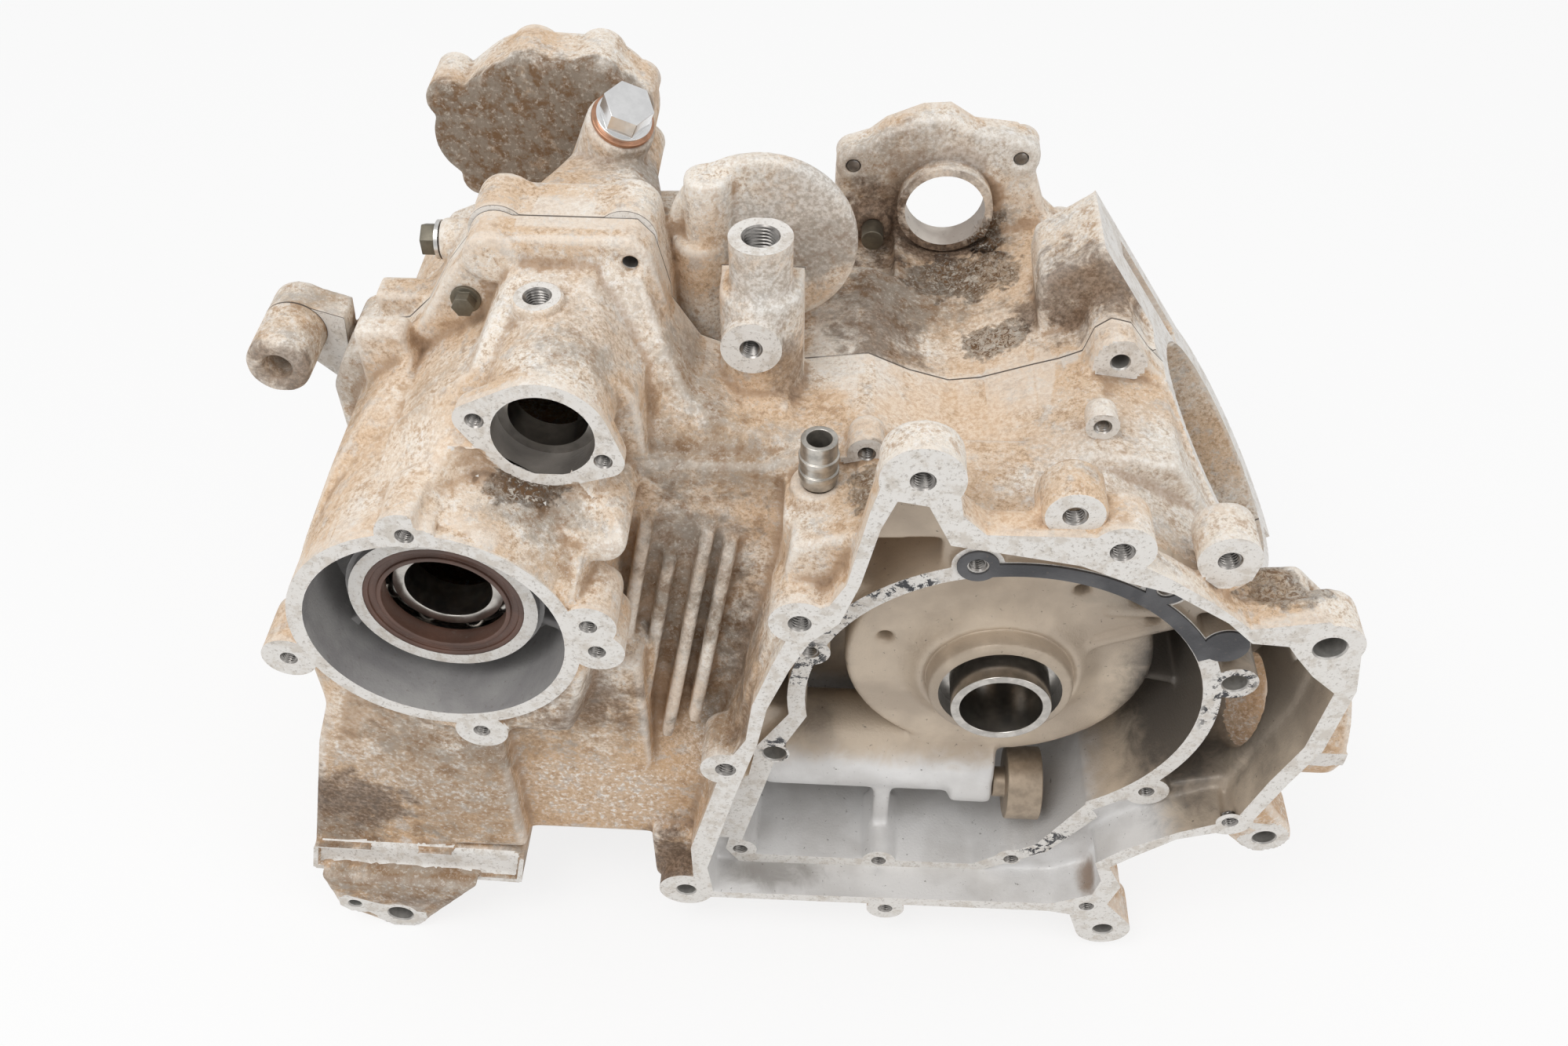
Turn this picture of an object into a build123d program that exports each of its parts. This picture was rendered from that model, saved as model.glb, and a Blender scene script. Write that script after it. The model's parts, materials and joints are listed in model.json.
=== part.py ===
from build123d import *
import math
import os

os.makedirs("parts", exist_ok=True)

# A two-piece cast crankcase for a single-cylinder engine with a belt drive, stripped bare.
# Millimetres. X runs along the case, Y from the belt side to the generator side, Z up.
# The origin is the crankshaft axis where it crosses the joint between the two halves.

# Positions along Y
COVER_Y = -114.0
RECESS_Y = -94.0
RIM_Y = -97.0
SPLIT_Y = 0.0
CORE_Y = -62.0
REAR_Y = 112.0

# Crankshaft
DRUM_R = 66.0
DRUM_Y = -73.0
HUB_R = 31.0
HUB_Y = -90.0
HUB_BORE_R = 26.0
CRANK_ROOM_R = 61.0
CRANK_ROOM_HALF = 48.0
SLEEVE_R = 21.0
SLEEVE_BORE_R = 17.2
SLEEVE_FRONT = -98.0
SLEEVE_BACK = -50.0
BUSH_FRONT = -82.0
BUSH_BACK = -54.0
RUNNING_GAP = 0.05
BUSH_R = SLEEVE_R + RUNNING_GAP

# Inner joint of the belt-side cover, and the room behind it
RIM_ROOM_R = 82.0
RIM_LAND = 7.5
RIM_R = RIM_ROOM_R + RIM_LAND
RIM_ROOM_BACK = -32.0
SUMP_WALL_Y = -26.0

# Cylinder deck
CYLINDER_TILT = 34.0
DECK_HEIGHT = 110.0
DECK_R = 56.0
DECK_BACK_R = 64.0
CYLINDER_BORE_R = 50.5

# Output chamber
OUTPUT_X = -226.0
OUTPUT_Z = 53.0
OUTPUT_ROOM_R = 50.7
OUTPUT_SHELL_R = 57.0
OUTPUT_ROOM_BACK = -74.0
OUTPUT_SHAFT_R = 30.0
SEAL_Y = -98.0
SEAL_BACK = -90.0
SEAL_R = 32.0
SEAL_LIP_R = 24.7
HOLDER_R = 37.5
BEARING_FRONT = -89.0
BEARING_BACK = -72.0
BEARING_R = 36.0
OUTER_RACE_R = 31.0
INNER_RACE_R = 22.5
INNER_BORE_R = 17.5
BALL_R = 5.5
BALL_COUNT = 9

# Idler bore behind the oval flange
IDLER_X = -179.0
IDLER_Z = 132.0
IDLER_Y = -84.0
IDLER_BORE_R = 19.0
IDLER_RACE_BORE_R = 15.0

# Starter motor seat and bore
STARTER_X = -28.0
STARTER_Z = 118.0
STARTER_PLATE_Y = 98.0
STARTER_BORE_R = 18.0
STARTER_RING_R = 21.5
SEAT_R = 36.0

# Belt air duct on the right
DUCT_Y = -66.0
DUCT_Z = -28.0
DUCT_MOUTH_R = 21.0
DUCT_R = 31.0
DUCT_WALL = 4.0
DUCT_END_X = 150.0

# Scalloped cap of the gearbox at the back left
CAP_FRONT = 98.0
CAP_BACK = 126.0
GEAR_REAR_Y = 118.0

# Filler plug on the cap
PLUG_SEAT = (-168.0, 74.0, 168.0)
PLUG_AXIS = (0.35, -0.35, 0.87)

SIDE_BOLT_X = -236.0
GASKET_T = 1.0
GASKET_END_ANGLE = math.radians(29)
GASKET_END_REACH = RIM_R + 5.4
GASKET_END = (GASKET_END_REACH * math.cos(GASKET_END_ANGLE), GASKET_END_REACH * math.sin(GASKET_END_ANGLE))
STANDING = (Align.CENTER, Align.CENTER, Align.MIN)

# Screw holes, at the tapping drill size
M6_TAP_R = 2.6
M8_TAP_R = 3.5
CHAMFER = 1.0

# Joint of the belt-side cover, seen along Y: outer and inner outline as x, z
COVER_OUTLINE = [
    (-133, -139), (36, -137), (60, -142), (67, -112), (59, -95), (69, -84), (84, -69),
    (112, -57), (121, -23), (129, 2), (131, 42), (126, 66), (110, 82), (83, 76),
    (66, 90), (50, 101), (38, 108), (30, 122), (-19, 121), (-28, 130), (-32, 152),
    (-54, 154), (-60, 131), (-67, 92), (-73, 80), (-88, 72), (-89, 59), (-95, 42),
    (-103, 16), (-106, -8), (-117, -30), (-121, -48), (-133, -95),
]
COVER_OPENING = [
    (-124, -134), (37, -130), (55, -120), (57, -107), (52, -92), (62, -80), (84, -63),
    (106, -51), (113, -22), (121, 4), (123, 40), (112, 50), (104, 60), (99, 67),
    (85, 68), (74, 79), (51, 94), (34, 99), (16, 107), (-7, 111), (-31, 115), (-40, 134),
    (-51, 136), (-56, 122), (-62, 92), (-69, 70), (-80, 58), (-88, 40), (-97, 14),
    (-101, -10), (-107, -33), (-112, -52), (-126, -112),
]
# Lugs of that joint: x, z, lug radius, hole radius, lug length
COVER_LUGS = [
    (-137, -133, 13, 4.4, 16), (-115, -30, 11, M8_TAP_R, 24), (-84, 69, 12, M8_TAP_R, 26),
    (-43, 146, 15, M8_TAP_R, 16), (29, 115, 12, M8_TAP_R, 20), (114, 67, 13, 6.0, 20),
    (104, -53, 10, M6_TAP_R, 22), (54, -131, 9, M6_TAP_R, 20), (-41, -142, 9, M6_TAP_R, 20),
]
# Housing wall behind that joint
SHELL_OUTLINE = [
    (-131, -138), (58, -137), (62, -110), (56, -94), (68, -80), (84, -66), (108, -54),
    (118, -22), (126, 2), (127, 40), (121, 62), (106, 77), (82, 74), (64, 88), (48, 97),
    (30, 106), (-30, 105), (-58, 107), (-88, 98), (-94, 60), (-98, 40), (-106, 14),
    (-110, -8), (-119, -30), (-123, -48), (-133, -95),
]

# Lower left part of the inner joint, outer and inner outline
RIM_FOOT = [
    (-88, -10), (-103, -36), (-107, -60), (-119, -122), (-113, -133), (2, -133),
    (16, -124), (34, -112), (53, -80), (0, 0),
]
RIM_FOOT_ROOM = [
    (-80, -10), (-94, -42), (-99, -64), (-111, -114), (-106, -126), (0, -126),
    (10, -118), (28, -106), (46, -70), (0, 0),
]
RIM_SCREWS = [(-80, 31), (-18, 87), (54, 78), (71, -58), (18, -120), (-45, -127), (-112, -122)]
RIM_DOWELS = [(-95, -41), (92, 22)]
CASE_DOWELS = [(-135, -120), (-75, 98.5)]
DOWEL_R = 4.0
DOWEL_HALF = 7.0

# Oil relief valve at the end of the gallery, lying along X
RELIEF_Y = -76.0
RELIEF_Z = -86.0
RELIEF_R = 17.0
RELIEF_X = 12.0
RELIEF_LENGTH = 16.0

# Crankcase proper between the covers, seen along Y; the hollow at the top seats the starter
CORE_OUTLINE = [
    (-153, -138), (60, -138), (63, -108), (72, -84), (90, -64), (99, -42), (98, -24),
    (120, 12), (58, 108), (27, 112), (7, 105), (-14, 97), (-27, 95), (-44, 100), (-61, 108),
    (-88, 104), (-100, 100), (-150, 100),
]
# Its joint face, with the lobes of the case bolts beside the cylinder deck
JOINT_TOP = [
    (0, 60), (0, 100), (26, 113), (29, 125), (35, 130), (43, 128), (52, 116), (60, 108), (90, 60),
]
CORE_ROOM = [
    (-117, -128), (50, -130), (54, -104), (64, -80), (82, -58), (88, -36), (60, 0),
    (30, 80), (5, 88), (-60, 92), (-108, 88), (-117, 60),
]

# Gearbox body: outlines seen along Y, and the side profiles that slope its top
GEAR_BACK = [
    (-284, -10), (-284, 93), (-276, 110), (-262, 117), (-250, 119), (-240, 129), (-228, 149),
    (-217, 163), (-207, 170), (-152, 170), (-146, 163), (-141, 140), (-141, -10),
]
GEAR_TOP = [
    (-243, -10), (-243, 112), (-232, 121), (-213, 133), (-206, 148), (-199, 158), (-168, 158),
    (-160, 148), (-148, 128), (-146, 98), (-150, -10),
]
GEAR_TOP_SIDE = [(-12, -10), (-12, 163), (-60, 142), (-60, -10)]
GEAR_NOSE_FRONT = [(-243, -10), (-254, 92), (-226, 107), (-184, 102), (-170, 82), (-168, 40), (-180, -10)]
GEAR_NOSE_BACK = [(-243, -10), (-243, 116), (-212, 142), (-168, 142), (-156, 112), (-158, 40), (-162, -10)]
GEAR_LEFT = [(-284, -10), (-284, 52), (-279, 76), (-270, 96), (-258, 109), (-243, 119), (-243, -10)]
GEAR_LEFT_SIDE = [(1, -10), (1, 121), (-24, 118), (-60, 102), (-88, 84), (-108, 60), (-108, -10)]
SHOULDER = [(-165, 165), (-150, 158), (-142, 136), (-130, 115), (-110, 107), (-88, 104), (-88, 60), (-165, 60)]
SHOULDER_SIDE = [(0, 60), (0, 170), (-12, 166), (-34, 128), (-52, 102), (-64, 74), (-64, 60)]
GEAR_ROOM = [
    (-276, -20), (-276, 50), (-264, 80), (-238, 92), (-225, 108), (-205, 122), (-176, 122),
    (-166, 96), (-166, -20),
]
JOINT_ROOM = [(-236, 80), (-234, 106), (-206, 124), (-197, 143), (-171, 143), (-158, 124), (-154, 80)]
FIN_WALL_SIDE = [
    (0, -112), (0, 108), (-34, 108), (-52, 98), (-62, 74), (-72, 20), (-80, -25),
    (-97, -62), (-97, -112),
]
BOX = [(-276, 19), (-294, -32), (-314, -110), (-150, -112), (-150, 19)]
BOX_FRONT = [(-276, 19), (-294, -32), (-314, -110), (-212, -110), (-212, 0)]
BOX_ROOM_SIDE = [(-90, -110), (-90, -72), (-73, -30), (-70, -16), (1, -16), (1, -110)]
BOX_ROOM = [(-276, -20), (-288, -34), (-304, -103), (-124, -103), (-124, -20)]
LEDGE = [(-313, -109), (-318, -129), (-217, -134), (-213, -112)]
LEDGE_FACE = [(-311, -110), (-315, -126), (-219, -131), (-215, -112)]
MOUNT_LUG = [
    (-312, -124), (-309, -150), (-301, -159), (-286, -170), (-272, -170), (-262, -158),
    (-236, -128),
]

OUTPUT_SCREWS = [(-227, 109), (-288, 35), (-217, -9), (-165, 62), (-163, 47)]

# Rear half
REAR_OUTLINE = [
    (-88, 90), (-78, 93), (-40, 96), (11, 104), (30, 102), (48, 97), (62, 79), (76, 56), (88, 34),
    (94, -20), (84, -66), (56, -98), (0, -112), (-60, -106), (-98, -72), (-104, -10), (-98, 50),
]
REAR_ROOM = [
    (-80, 82), (-40, 86), (8, 92), (28, 92), (42, 87), (54, 70), (68, 48), (78, 28), (82, -18), (74, -60),
    (50, -88), (0, -101), (-56, -95), (-88, -66), (-93, -10), (-88, 48),
]
STARTER_PLATE = [
    (-78, 100), (-78, 128), (-71, 143), (-63, 146), (-56, 152), (-40, 159), (-28, 160),
    (-17, 153), (2, 151), (11, 144), (12, 130), (18, 113), (30, 102), (20, 90), (-70, 88),
]
REAR_SCREWS = [
    (-70, 135, 8), (4, 141, 9), (27, 100, 8), (84, 38, 8), (88, -42, 8), (30, -105, 8),
    (-50, -106, 8), (-99, -60, 8), (-101, 30, 8),
]
GEAR_REAR = [(-278, -28), (-278, 72), (-262, 92), (-240, 102), (-150, 108), (-118, 98), (-118, -28)]
GEAR_REAR_ROOM = [(-270, -20), (-270, 66), (-240, 92), (-156, 96), (-126, 64), (-126, -20)]
GEAR_REAR_RIBS = (-250, -222, -194, -166, -138)
NECK_FRONT = [(-212, 90), (-212, 156), (-200, 162), (-156, 162), (-144, 150), (-141, 90)]
NECK_BACK = [(-204, 90), (-196, 132), (-184, 148), (-168, 150), (-160, 140), (-158, 90)]
CAP_CORE = [(-236, 143, 22), (-212, 149, 32), (-189, 150, 30)]
CAP_ROOM = [(-236, 143, 14), (-212, 149, 24), (-189, 150, 22)]
CAP_LOBES = [
    (-250, 161, 9), (-212, 172, 12), (-183, 172, 11), (-167, 160, 9), (-168, 128, 10),
    (-240, 122, 9), (-204, 116, 9),
]
CHAIN_TUNNEL = [(91, 62), (31, 151), (6, 132), (12, 98), (45, 30)]


def slab(points, front, back):
    """A plate across Y whose outline is a list of (x, z) points."""
    face = make_face(Polyline(*points, close=True))
    return extrude(Plane.XZ.offset(-back) * face, amount=back - front)


def profile_x(points, left, right):
    """A bar along X whose section is a list of (y, z) points."""
    face = make_face(Polyline(*points, close=True))
    return extrude(Plane.YZ.offset(left) * face, amount=right - left)


def wedge(front_points, front, back_points, back):
    """A solid between two outlines across Y that have the same number of points."""
    ends = []
    for points, y in ((front_points, front), (back_points, back)):
        corners = [(x, y, z) for x, z in points]
        ends.append(make_face(Polyline(*corners, close=True)))
    return loft(ends, ruled=True)


def rod_y(x, z, radius, front, back):
    return Pos(x, (front + back) / 2, z) * Rot(90, 0, 0) * Cylinder(radius, back - front)


def rod_z(x, y, radius, low, high):
    return Pos(x, y, (low + high) / 2) * Cylinder(radius, high - low)


def rod_x(y, z, radius, left, right):
    return Pos((left + right) / 2, y, z) * Rot(0, 90, 0) * Cylinder(radius, right - left)


def block(x0, x1, y0, y1, z0, z1):
    return Pos((x0 + x1) / 2, (y0 + y1) / 2, (z0 + z1) / 2) * Box(x1 - x0, y1 - y0, z1 - z0)


def ring_y(x, z, outer, inner, front, back):
    return rod_y(x, z, outer, front, back) - rod_y(x, z, inner, front - 1, back + 1)


def hull_y(circles, front, back):
    """A plate across Y: the outline drawn tight around circles given as x, z, radius."""
    edges = [(Pos(x, z) * Circle(r)).edge() for x, z, r in circles]
    return extrude(Plane.XZ.offset(-back) * make_hull(edges), amount=back - front)


def tapped_y(x, z, radius, face, depth):
    """A tapped hole opening towards -Y, with its lead-in chamfer."""
    hole = rod_y(x, z, radius, face - 1, face + depth)
    mouth = Pos(x, face + CHAMFER / 2, z) * Rot(90, 0, 0) * Cone(radius, radius + CHAMFER, CHAMFER)
    return hole + mouth


def along_cylinder(radius, low, high):
    """A rod on the cylinder axis, between two distances from the crankshaft axis."""
    return Rot(0, 90 - CYLINDER_TILT, 0) * Pos(0, 0, (low + high) / 2) * Cylinder(radius, high - low)


def above_deck():
    """Everything beyond the machined deck that the cylinder stands on."""
    size = 120
    return Rot(0, 90 - CYLINDER_TILT, 0) * Pos(0, 20, DECK_HEIGHT + size / 2) * Box(300, 200, size)


def belt_side():
    """The open side: cover joint, inner joint, crankshaft drum and the rooms between."""
    body = slab(COVER_OUTLINE, COVER_Y, -100) + slab(SHELL_OUTLINE, -102, -46)
    body += slab([(-62, 92), (-58, 132), (-40, 141), (-30, 128), (-24, 100)], -100, -87)
    for x, z, radius, hole, length in COVER_LUGS:
        body += rod_y(x, z, radius, COVER_Y, COVER_Y + length)
    body += hull_y([(54, -131, 9), (65, -152, 13)], COVER_Y, COVER_Y + 22)
    body += hull_y([(112, -62, 14), (127, -80, 12)], COVER_Y + 10, COVER_Y + 34)
    body += rod_x(DUCT_Y, DUCT_Z, DUCT_R, 100, DUCT_END_X)

    body -= slab(COVER_OPENING, COVER_Y - 1, RECESS_Y)
    pockets = slab([(-99, -12), (-90, 42), (-80, 50), (-70, 48), (-70, -12)], RECESS_Y, -64)
    pockets += slab([(-66, 70), (-66, 94), (-32, 97), (-32, 70)], RECESS_Y, -66)
    pockets += slab([(70, -60), (104, -49), (112, -20), (119, 4), (120, 36), (96, 60), (70, 60)],
                    RECESS_Y, -50)
    pockets += slab([(-121, -110), (-106, -34), (-100, -34), (-113, -112)], RECESS_Y, -70)
    rim = rod_y(0, 0, RIM_R, RIM_Y, CORE_Y) + slab(RIM_FOOT, RIM_Y, CORE_Y)
    for x, z in RIM_DOWELS + [GASKET_END]:
        rim += rod_y(x, z, 9.5, RIM_Y, CORE_Y)
    for x, z in RIM_SCREWS[:4]:
        rim += rod_y(x, z, 10, RIM_Y, RECESS_Y + 12)
    body -= pockets - rim
    body += rim & slab(COVER_OPENING, COVER_Y, CORE_Y)

    room = rod_y(0, 0, RIM_ROOM_R, RIM_Y - 1, RIM_ROOM_BACK)
    room += slab(RIM_FOOT_ROOM, RIM_Y - 1, RIM_ROOM_BACK)
    for x, z in RIM_SCREWS:
        room -= rod_y(x, z, 8, RIM_Y - 2, -60)
    return body, room


def drum():
    """The wall that carries the crankshaft, with its hub, gallery and ribs."""
    wall = rod_y(0, 0, DRUM_R, DRUM_Y, RIM_ROOM_BACK) + rod_y(0, 0, HUB_R + 6, DRUM_Y - 5, DRUM_Y)
    wall += rod_y(0, 0, HUB_R, HUB_Y, DRUM_Y)
    gallery = rod_x(-60, -78, 23, -101, 6) + rod_x(RELIEF_Y, RELIEF_Z, 10, -14, 6)
    ribs = block(40, 84, DRUM_Y - 2, RIM_ROOM_BACK, 34, 40)
    ribs += Rot(0, -25, 0) * block(30, 80, DRUM_Y - 4, RIM_ROOM_BACK, -3, 3)
    ribs += Rot(0, 12, 0) * block(60, 84, DRUM_Y + 6, RIM_ROOM_BACK, -2.5, 2.5)
    ribs += block(-49, -41, -80, RIM_ROOM_BACK, -127, -80)
    room = rod_y(0, 0, RIM_ROOM_R + 2, RIM_Y, RIM_ROOM_BACK) + slab(RIM_FOOT_ROOM, RIM_Y, RIM_ROOM_BACK)
    return wall + ((gallery + ribs) & room)


def gearbox_front():
    """The left part: sloped gearbox top, output chamber, fins, sump box and mounting lug."""
    body = slab(GEAR_BACK, -15, SPLIT_Y)
    body += slab(GEAR_TOP, -60, -10) & profile_x(GEAR_TOP_SIDE, -250, -140)
    body += wedge(GEAR_NOSE_FRONT, COVER_Y + 1, GEAR_NOSE_BACK, -60)
    body += slab(GEAR_LEFT, -108, SPLIT_Y) & profile_x(GEAR_LEFT_SIDE, -290, -240)
    body += slab(SHOULDER, -64, SPLIT_Y) & profile_x(SHOULDER_SIDE, -170, -80)
    body += profile_x(FIN_WALL_SIDE, -164, -92)
    body += slab(BOX, -97, SPLIT_Y) + slab(BOX_FRONT, -109, SPLIT_Y)
    body += block(-153, -128, -104, SPLIT_Y, -138, -100)
    body += slab(LEDGE, COVER_Y, -40) - slab(LEDGE_FACE, COVER_Y - 1, COVER_Y + 3)
    body += slab(MOUNT_LUG, -121, -60)
    body += rod_y(OUTPUT_X, OUTPUT_Z, OUTPUT_SHELL_R, COVER_Y, -40)
    for x, z in OUTPUT_SCREWS:
        body += rod_y(x, z, 11, COVER_Y, COVER_Y + 26)
    body += fins()

    body += hull_y([(IDLER_X, IDLER_Z, 25), (-203, 139, 8), (-158, 121, 8)], IDLER_Y, IDLER_Y + 9)
    body += rod_y(IDLER_X, IDLER_Z, 24, IDLER_Y + 5, -30)
    body += hull_y([(-191.5, 99, 12.5), (-191.5, 89, 12.5)], IDLER_Y - 10, -60)
    body += rod_y(-161, 91, 11, -98, -50)
    body += rod_z(-186, -36, 9.6, 110, 156)
    body += block(-266, -245, -24, -12, 100, 130)
    body += rod_z(-104, -12, 12.5, 96, 172) + rod_z(-104, -12, 16.5, 96, 150)
    body += block(-120.5, -87.5, -14, SPLIT_Y, 96, 150)
    body += rod_y(-107, 133, 12, -31, SPLIT_Y)
    body += rod_y(-207, 161, 11, -18, SPLIT_Y) + rod_y(-220, 141, 10, -15, SPLIT_Y)
    return body & block(-400, 200, -200, SPLIT_Y, -300, 300)


def fins():
    """Four upright fins on the wall beside the output chamber, leaning with the casting."""
    fins = Part()
    for x, top, foot in ((-148, 70, -6), (-139, 54, -22), (-123, 68, -22), (-114, 62, -10)):
        lean = (top - foot) * 0.19
        front = [(-72, top), (-93, foot), (-95, foot - 16), (-60, foot - 16), (-50, top + 10)]
        fin = profile_x(front, -2.8, 2.8)
        fins += Pos(x, 0, top) * Rot(0, math.degrees(math.atan2(lean, top - foot)), 0) * Pos(0, 0, -top) * fin
    return fins


def right_top_front():
    """Bosses on top of the right side, and the block under the hose pipe."""
    body = block(-92, -66, -86, -40, 70, 97) + rod_z(-79, -72, 11, 80, 104)
    body += rod_y(-61, 109, 7.5, -62, -46) + rod_y(28, 118, 6.5, -52, -40)
    body += hull_y([(11, 122, 12.4), (12, 114, 6)], -104, -88)
    body += hull_y([(71, 102, 11.7), (73, 92, 8)], -104, -84)
    body += slab(JOINT_TOP, -13, SPLIT_Y)
    return body


def front_case_half():
    shell, belt_room = belt_side()
    body = shell + slab(CORE_OUTLINE, CORE_Y, SPLIT_Y)
    barrel = along_cylinder(DECK_R, 20, DECK_HEIGHT)
    body += barrel & block(-200, 200, -100, SPLIT_Y, -200, 200)
    body += gearbox_front()
    body += right_top_front()
    body -= belt_room
    body += drum()

    body -= rod_y(OUTPUT_X, OUTPUT_Z, OUTPUT_ROOM_R, COVER_Y - 1, OUTPUT_ROOM_BACK)
    holder = rod_y(OUTPUT_X, OUTPUT_Z, HOLDER_R + 2, -94, OUTPUT_ROOM_BACK)
    holder += rod_y(OUTPUT_X, OUTPUT_Z, HOLDER_R, SEAL_Y, OUTPUT_ROOM_BACK)
    for index in range(6):
        rib = Rot(0, 30 + 60 * index, 0) * block(34, 53, -88, OUTPUT_ROOM_BACK, -2.5, 2.5)
        holder += Pos(OUTPUT_X, 0, OUTPUT_Z) * rib
    body += holder
    body -= rod_y(OUTPUT_X, OUTPUT_Z, SEAL_R, SEAL_Y - 1, SEAL_BACK)
    body -= rod_y(OUTPUT_X, OUTPUT_Z, BEARING_R, BEARING_FRONT, BEARING_BACK)
    body -= rod_y(OUTPUT_X, OUTPUT_Z, OUTPUT_SHAFT_R, SEAL_BACK - 1, -50)

    body -= slab(GEAR_ROOM, -66, SPLIT_Y) + slab(JOINT_ROOM, -40, SPLIT_Y)
    body -= slab(BOX_ROOM, -90, SPLIT_Y) & profile_x(BOX_ROOM_SIDE, -310, -100)
    body -= block(-168, -102, -54, SPLIT_Y, -20, 62)
    body -= slab(CORE_ROOM, SUMP_WALL_Y, SPLIT_Y)
    body += ring_y(0, 0, DRUM_R, CRANK_ROOM_R, SUMP_WALL_Y, SPLIT_Y)
    body -= rod_y(0, 0, CRANK_ROOM_R, -CRANK_ROOM_HALF, SPLIT_Y)
    body -= along_cylinder(CYLINDER_BORE_R, 40, DECK_HEIGHT + 5)
    body -= rod_y(0, 0, HUB_BORE_R, HUB_Y - 1, -CRANK_ROOM_HALF)
    body -= above_deck() & block(-300, 300, -82, SPLIT_Y, -300, 300)

    body -= rod_x(DUCT_Y, DUCT_Z, DUCT_MOUTH_R, 95, DUCT_END_X)
    body -= rod_x(DUCT_Y, DUCT_Z, DUCT_R - DUCT_WALL, 130, DUCT_END_X + 1)
    return body - front_holes()


def front_holes():
    holes = rod_y(65, -152, 4.5, COVER_Y - 1, -80) + rod_y(127, -80, 5, -110, -70)
    for x, z, radius, hole, length in COVER_LUGS:
        if hole in (M6_TAP_R, M8_TAP_R):
            holes += tapped_y(x, z, hole, COVER_Y, 18)
        else:
            holes += rod_y(x, z, hole, COVER_Y - 1, COVER_Y + length + 10)
    for x, z in RIM_SCREWS:
        holes += tapped_y(x, z, M6_TAP_R, RIM_Y, 15)
    for x, z in RIM_DOWELS:
        holes += rod_y(x, z, 5.0, RIM_Y - 1, RIM_Y + 10)
    for x, z in OUTPUT_SCREWS:
        holes += tapped_y(x, z, M6_TAP_R, COVER_Y, 18)
    for x, z in ((-203, 139), (-158, 121)):
        holes += tapped_y(x, z, M6_TAP_R, IDLER_Y, 15)
    for x, z in ((-49, 13), (29, 47)):
        holes += rod_y(x, z, 3.2, DRUM_Y - 1, DRUM_Y + 12)
    for x, y, z in ((11, -104, 122), (71, -104, 102), (-61, -62, 109), (28, -52, 120)):
        holes += tapped_y(x, z, M6_TAP_R, y, 14)
    holes += tapped_y(-107, 133, M8_TAP_R, -31, 12)
    holes += rod_y(IDLER_X, IDLER_Z, IDLER_BORE_R, IDLER_Y - 1, -50)
    holes += rod_y(-300, -149, 3.0, -122, -100) + rod_y(-279, -157, 6.0, -122, -59)
    holes += rod_z(-186, -36, 4.3, 136, 157) + rod_z(-104, -12, 6.3, 152, 173)
    holes += rod_z(-79, -72, 6.0, 70, 105)
    holes += rod_y(-154, 159, 3.3, -40, 1) + rod_y(39, 118, 3.3, -40, 1)
    holes += rod_y(-220, 141, 3.3, -40, 1)
    holes += rod_x(RELIEF_Y, RELIEF_Z, 5.0, -10, 7)
    for x, z in CASE_DOWELS:
        holes += rod_y(x, z, DOWEL_R, -DOWEL_HALF, 1)
    return holes


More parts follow.
